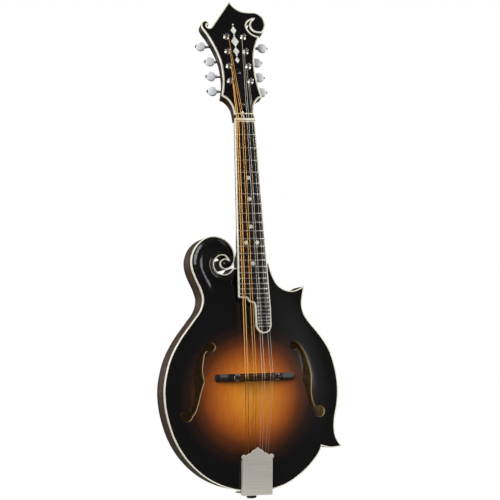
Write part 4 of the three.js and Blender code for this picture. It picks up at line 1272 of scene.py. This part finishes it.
def smooth_path(path, steps=6):
    """A curve through points in space, ends included."""
    p = np.array(path, float)
    p = np.vstack([2 * p[0] - p[1], p, 2 * p[-1] - p[-2]])
    made = []
    for a, b, c, d in zip(p, p[1:], p[2:], p[3:]):
        t = (np.arange(steps) / steps)[:, None]
        v, w = (c - a) / 2, (d - b) / 2
        made.append((2 * b - 2 * c + v + w) * t**3 + (3 * c - 3 * b - 2 * v - w) * t**2 + v * t + b)
    return np.vstack([*made, p[-2:-1]])


def make_end_pin():
    bottom = mm(-10.1)
    profile = mm([
        [0, 0], [4.6, 0], [5.9, 0.5], [6.8, 1.4], [7, 2.3], [6.8, 3.2], [5.6, 4], [4, 4.6], [3.5, 5.4],
        [3.8, 6.6], [4.6, 8], [4.3, 8.4], [3.9, 8.7], [3.8, 26], [0, 27],
    ])
    pin = lathe(profile, 48).placed(at(0, END_PIN_Y, TAIL_Z + bottom) @ ALONG_Z)
    piece("strap_pin", pin, BLACK_PLASTIC, stands_for=["end_pin"])


# ---------------------------------------------------------------- tuners


def gear_outline():
    points = []
    root, tip = GEAR_PITCH_RADIUS - mm(0.5), GEAR_PITCH_RADIUS + mm(0.4)
    for tooth in range(GEAR_TEETH):
        middle = (tooth + 0.5) * 2 * math.pi / GEAR_TEETH - math.pi / 2
        for radius, offset in ((root, -0.105), (tip, -0.05), (tip, 0.05), (root, 0.105)):
            points.append((radius * math.cos(middle + offset), radius * math.sin(middle + offset)))
    return np.array(points)


def worm_thread():
    """One thread wound twice round the shaft, its crest at x = 0 where it faces +Z."""
    root, crest = mm(1.2), mm(2.25)
    sections = []
    for turn in np.linspace(-1, 1, 41):
        a = turn * 2 * math.pi
        section = [(root, mm(-0.42)), (crest, mm(-0.18)), (crest, mm(0.18)), (root, mm(0.42))]
        sections.append(np.array([
            (turn * WORM_PITCH + off, -radius * math.sin(a), radius * math.cos(a)) for radius, off in section
        ]))
    return loft(sections)


def make_tuner_row(side, name):
    row = row_frame(side)
    plate_front = HEAD_THICK + CLEAR
    plate_back = plate_front + mm(1.2)
    row_end = 3 * POST_SPACING
    low, high = mm(-13), row_end + mm(8)
    low_end, high_end = low + mm(3), high - mm(3)
    strip = np.vstack([
        [[mm(-7.5), low_end]],
        bezier((mm(-7.5), low_end), (mm(-4), low), (mm(4), low), (mm(8), low_end), 12),
        bezier((mm(8), high_end), (mm(4), high), (mm(-4), high), (mm(-7.5), high_end), 12),
    ])
    bores = [circle(0, i * POST_SPACING, mm(3.4), 24) for i in EACH_POST]
    plate = slab(strip, plate_front, plate_back, bores, rounding=(0, mm(0.3)))
    lugs, screws = [], []
    for i in EACH_POST:
        worm_z = i * POST_SPACING - WORM_DROP
        for inner, outer in mm([[-6.6, -4.4], [4.4, 6.6]]):
            front_corner = (inner, plate_front + mm(0.4), worm_z - mm(3))
            lug = rounded_box(front_corner, (outer, GEAR_Y + mm(2.9), worm_z + mm(3)), mm(0.9))
            bore = tube([(inner - mm(1), GEAR_Y, worm_z), (outer + mm(1), GEAR_Y, worm_z)], mm(1.6), 20)
            lugs.append(combined(lug, [bore], "DIFFERENCE"))
    for z in (low + mm(3.4), *(POST_SPACING * (i + 0.42) for i in range(3)), high - mm(3.4)):
        head = screw(mm(1.8), mm(0.8), 0.4 + z * 40)
        screws.append(head.placed(at(0, plate_back, z) @ Matrix.Rotation(math.pi, 4, "Z")))
    put(f"tuner_strip_{name}", joined(plate, *lugs), NICKEL, row, stands_for=[f"tuner_plate_{name}"])
    put(f"tuner_strip_screws_{name}", joined(*screws), NICKEL, row)

    for i in EACH_POST:
        number = 4 - i if side < 0 else 5 + i
        z = i * POST_SPACING
        make_post(number, row @ at(0, 0, z))
        make_knob(number, row @ at(0, GEAR_Y, z - WORM_DROP), BUTTON_REACH[i])
        ferrule = mm([
            [2.98, -1.5], [3.5, -1.5], [4.1, -1.1], [4.5, -0.3],
            [4.5, 0.05], [3.55, 0.1], [3.55, 3], [2.98, 3],
        ])
        put(f"ferrule_{number}", lathe(ferrule, 36), NICKEL, row @ at(0, 0, z))


def make_post(number, matrix):
    body = f"tuner_{number}_post"
    top = mm([[0, -8], [1.7, -8], [2.5, -7.8]])
    waist = [(POST_RADIUS, mm(-5.8)), mm(2.5, -5.5), (POST_WAIST, mm(-5.2)), (POST_WAIST, mm(-2.6))]
    stem = [mm(2.5, -2.3), (POST_RADIUS, mm(-2)), (POST_RADIUS, GEAR_Y), (0, GEAR_Y)]
    profile = [*top, (POST_RADIUS, mm(-7.2)), *waist, *stem]
    slot = box(mm(-0.45, -9, -4), mm(0.45, -6.6, 4))
    hole = tube([mm(-4, -3.9, 0), mm(4, -3.9, 0)], mm(0.7), 14)
    post = combined(lathe(profile, 36), [slot, hole], "DIFFERENCE")
    gear = slab(gear_outline(), GEAR_Y - mm(1.2), GEAR_Y + mm(1.2), rounding=(mm(0.12), mm(0.12)))
    fixing = screw(mm(2.2), mm(0.9)).placed(at(0, GEAR_Y + mm(1.2), 0) @ Matrix.Rotation(math.pi, 4, "Z"))
    whole = joined(post, gear, fixing)
    put(f"post_{number}", whole, NICKEL, matrix, body=body, stands_for=[f"tuner_post_{number}"])

    course = (number - 1) // 2
    radius = STRING_RADIUS[course]
    turns = 2.5
    angle = np.linspace(0, turns * 2 * math.pi, int(turns * 28))
    y = np.linspace(mm(-5.1) + radius, mm(-2.6) - radius, len(angle))
    reach = POST_WAIST + radius
    coil = np.stack([-reach * np.cos(angle), y, reach * np.sin(angle)], 1)
    look = WOUND if course < 2 else PLAIN
    put(f"winding_{number}", tube(coil, radius, 10), look, matrix, body=body)


def make_knob(number, matrix, reach):
    body = f"tuner_{number}_shaft"
    neck = reach - BUTTON_RADIUS
    collar = mm([[1.4, -2.6], [2.2, -2.2], [2.2, -1.5], [1.7, -1.1], [2.3, -0.5], [2.3, -0.3], [0, -0.3]])
    profile = np.vstack([mm([[0, -7.4], [1.2, -7.4], [1.4, -7]]), collar + (0, neck)])
    shaft = joined(lathe(profile, 28).placed(ALONG_X), worm_thread())
    put(f"shaft_{number}", shaft, STEEL, matrix, body=body, stands_for=[f"tuner_shaft_{number}"])
    rim = mm([[-2, -2.5], [-0.8, -2.1], [-0.2, -1.4], [0, 0]]) + (BUTTON_RADIUS, 0)
    half = np.vstack([mm([[0, -2.5]]), rim])
    disc = np.vstack([half, half[-2::-1] * (1, -1)])
    button = lathe(disc, 48).at(reach, 0, 0)
    put(f"button_{number}", button, PEARL, matrix, body=body, stands_for=[f"tuner_button_{number}"])
    tip = reach + BUTTON_RADIUS
    end = mm([[0, -0.7], [2, -0.7], [2.1, 0.5], [1.5, 1], [1.5, 1.5], [1, 1.8], [0, 1.8]])
    cap = lathe(end + (0, tip), 24).placed(ALONG_X)
    put(f"button_tip_{number}", cap, STEEL, matrix, body=body)


# ---------------------------------------------------------------- strings

POST_OF_STRING = [0, 1, 2, 3, 3, 2, 1, 0]
TWIST_TURNS = 7


def make_strings():
    for i in range(8):
        side = -1 if i < 4 else 1
        radius = STRING_RADIUS[i // 2]
        hook_x = side * HOOK_X[3 - i if i < 4 else i - 4]
        post_x, post_z = post_place(side, POST_OF_STRING[i])
        reach = POST_WAIST + CLEAR + radius
        saddle = Vector((saddle_x(i), -SADDLE_FRONT - mm(0.05) - radius, BRIDGE_Z))
        nut = NECK @ Vector((nut_x(i), mm(-1.45) - 0.4 * radius, mm(2)))
        hook = TAIL @ Vector((hook_x, mm(-3.4), HOOK_Z + mm(2.4)))
        post = HEAD @ Vector((post_x - side * reach, WINDING_Y, post_z))
        path = [hook]
        for corner, past in ((saddle, nut), (nut, post)):
            back = (path[-1] - corner).normalized()
            on = (past - corner).normalized()
            path += [corner + back * mm(1.6), corner + (back + on) * mm(0.4), corner + on * mm(1.6)]
        path += [post]
        look = WOUND if i < 4 else PLAIN
        run = tube([tuple(p) for p in path], radius, 12)
        # a loop round the hook, and the twist that closes it
        angle = np.linspace(0, 2 * math.pi, 29)[:-1]
        ring = []
        loop_radius = radius * 0.8 if i < 4 else radius
        for a in angle:
            spread = mm(1.1) * math.sin(a)
            ring.append((hook_x + spread, mm(-3.5), HOOK_Z + mm(0.9) - mm(1.9) * math.cos(a)))
        ring.append(ring[0])
        loop = tube([tuple(TAIL @ Vector(p)) for p in ring], loop_radius, 8)
        along = (saddle - hook).normalized()
        across = Vector((1, 0, 0))
        other = along.cross(across)
        twist = []
        for t in np.linspace(0, 1, 60):
            a = t * 2 * math.pi * TWIST_TURNS
            off = (across * math.cos(a) + other * math.sin(a)) * (radius * 1.7)
            twist.append(tuple(hook + along * (t * mm(7)) + off))
        twist = tube(twist, loop_radius * 0.9, 8)
        piece(f"gut_{i + 1}", joined(run, loop, twist), look, stands_for=[f"string_{i + 1}"])


# ---------------------------------------------------------------- the CAD pieces that are kept


def dress_kept_pieces():
    looks = {
        "bare_spruce": SPRUCE, "steel": STEEL, "satin_nickel": SATIN, "ebony": EBONY,
        "dark_lacquered_maple": BARE_MAPLE,
    }
    slots = {part["node"]: part["material_slot"] for part in frame["record"]["subparts"]}
    for name, node in frame["nodes"].items():
        look = looks.get(slots.get(name))
        if look and node.type == "MESH":
            node.data.materials.clear()
            node.data.materials.append(look)


# ---------------------------------------------------------------- studio


def area_light(name, place, target, size, power):
    data = bpy.data.lights.new(name, "AREA")
    data.shape = "RECTANGLE"
    data.size, data.size_y = size
    data.energy = power
    light = bpy.data.objects.new(name, data)
    bpy.context.scene.collection.objects.link(light)
    light.location = place
    light.rotation_euler = (Vector(target) - Vector(place)).to_track_quat("-Z", "Y").to_euler()


def make_studio():
    scene = bpy.context.scene
    scene.view_settings.view_transform = "Standard"
    world = bpy.data.worlds.new("studio")
    scene.world = world
    world.use_nodes = True
    nodes, links = world.node_tree.nodes, world.node_tree.links
    seen = nodes["Background"]
    seen.inputs["Color"].default_value = (1, 1, 1, 1)
    lit = nodes.new("ShaderNodeBackground")
    lit.inputs["Color"].default_value = (0.07, 0.07, 0.073, 1)
    mix = nodes.new("ShaderNodeMixShader")
    path = nodes.new("ShaderNodeLightPath")
    links.new(path.outputs["Is Camera Ray"], mix.inputs["Fac"])
    links.new(lit.outputs["Background"], mix.inputs[1])
    links.new(seen.outputs["Background"], mix.inputs[2])
    links.new(mix.outputs["Shader"], nodes["World Output"].inputs["Surface"])

    middle = (0, 0, mm(-200))
    area_light("key_left", (-1.9, -1.5, 0.9), middle, (2.0, 2.4), 70)
    area_light("key_right", (2.0, -1.2, 0.5), middle, (1.4, 2.4), 42)
    area_light("overhead", (0, 0.3, 2.2), middle, (1.6, 1.2), 24)
    area_light("back_left", (-1.7, 1.9, 0.5), middle, (0.7, 1.6), 30)
    area_light("back_right", (1.7, 1.9, 0.5), middle, (0.7, 1.6), 30)

    floor = slab(circle(0, 0, mm(180), 96), mm(0), mm(6), rounding=(mm(2), 0))
    turned = Matrix.Translation((0, 0, mm(-620))) @ Matrix.Rotation(-math.pi / 2, 4, "X")
    look = grained("floor", "floor", (0.9, 0.9, 0.9, 1), (0.92, 0.92, 0.92, 1), 0.9, (2, 2, 2))
    mesh = mesh_of("floor", Shape(floor.placed(turned).points, floor.faces))
    mesh.materials.append(look)
    obj = bpy.data.objects.new("floor", mesh)
    scene.collection.objects.link(obj)


def make_camera():
    """The photograph's viewpoint: from the bass side, a little below, slightly tilted."""
    azimuth, elevation, roll = (math.radians(a) for a in (-16.122, -4.895, -1.818))
    distance = mm(2181.95)
    target = Vector(mm(2.384, 0, -178.906))
    back = Vector((
        math.sin(azimuth) * math.cos(elevation),
        -math.cos(azimuth) * math.cos(elevation),
        math.sin(elevation),
    ))
    level = Vector((math.cos(azimuth), math.sin(azimuth), 0))
    up = back.cross(level)
    right = level * math.cos(roll) + up * math.sin(roll)
    top = up * math.cos(roll) - level * math.sin(roll)
    data = bpy.data.cameras.new("camera")
    data.sensor_width = 36
    data.lens = 114.2
    data.clip_start = 0.05
    camera = bpy.data.objects.new("camera", data)
    bpy.context.scene.collection.objects.link(camera)
    axes = Matrix((right, top, back)).transposed().to_4x4()
    camera.matrix_world = Matrix.Translation(target + back * distance) @ axes
    bpy.context.scene.camera = camera


make_body()
make_neck()
make_headstock_face()
make_fingerboard()
make_bridge()
make_tailpiece()
make_end_pin()
for side, name in zip(SIDES, ("bass", "treble")):
    make_tuner_row(side, name)
make_strings()
dress_kept_pieces()
make_studio()
make_camera()
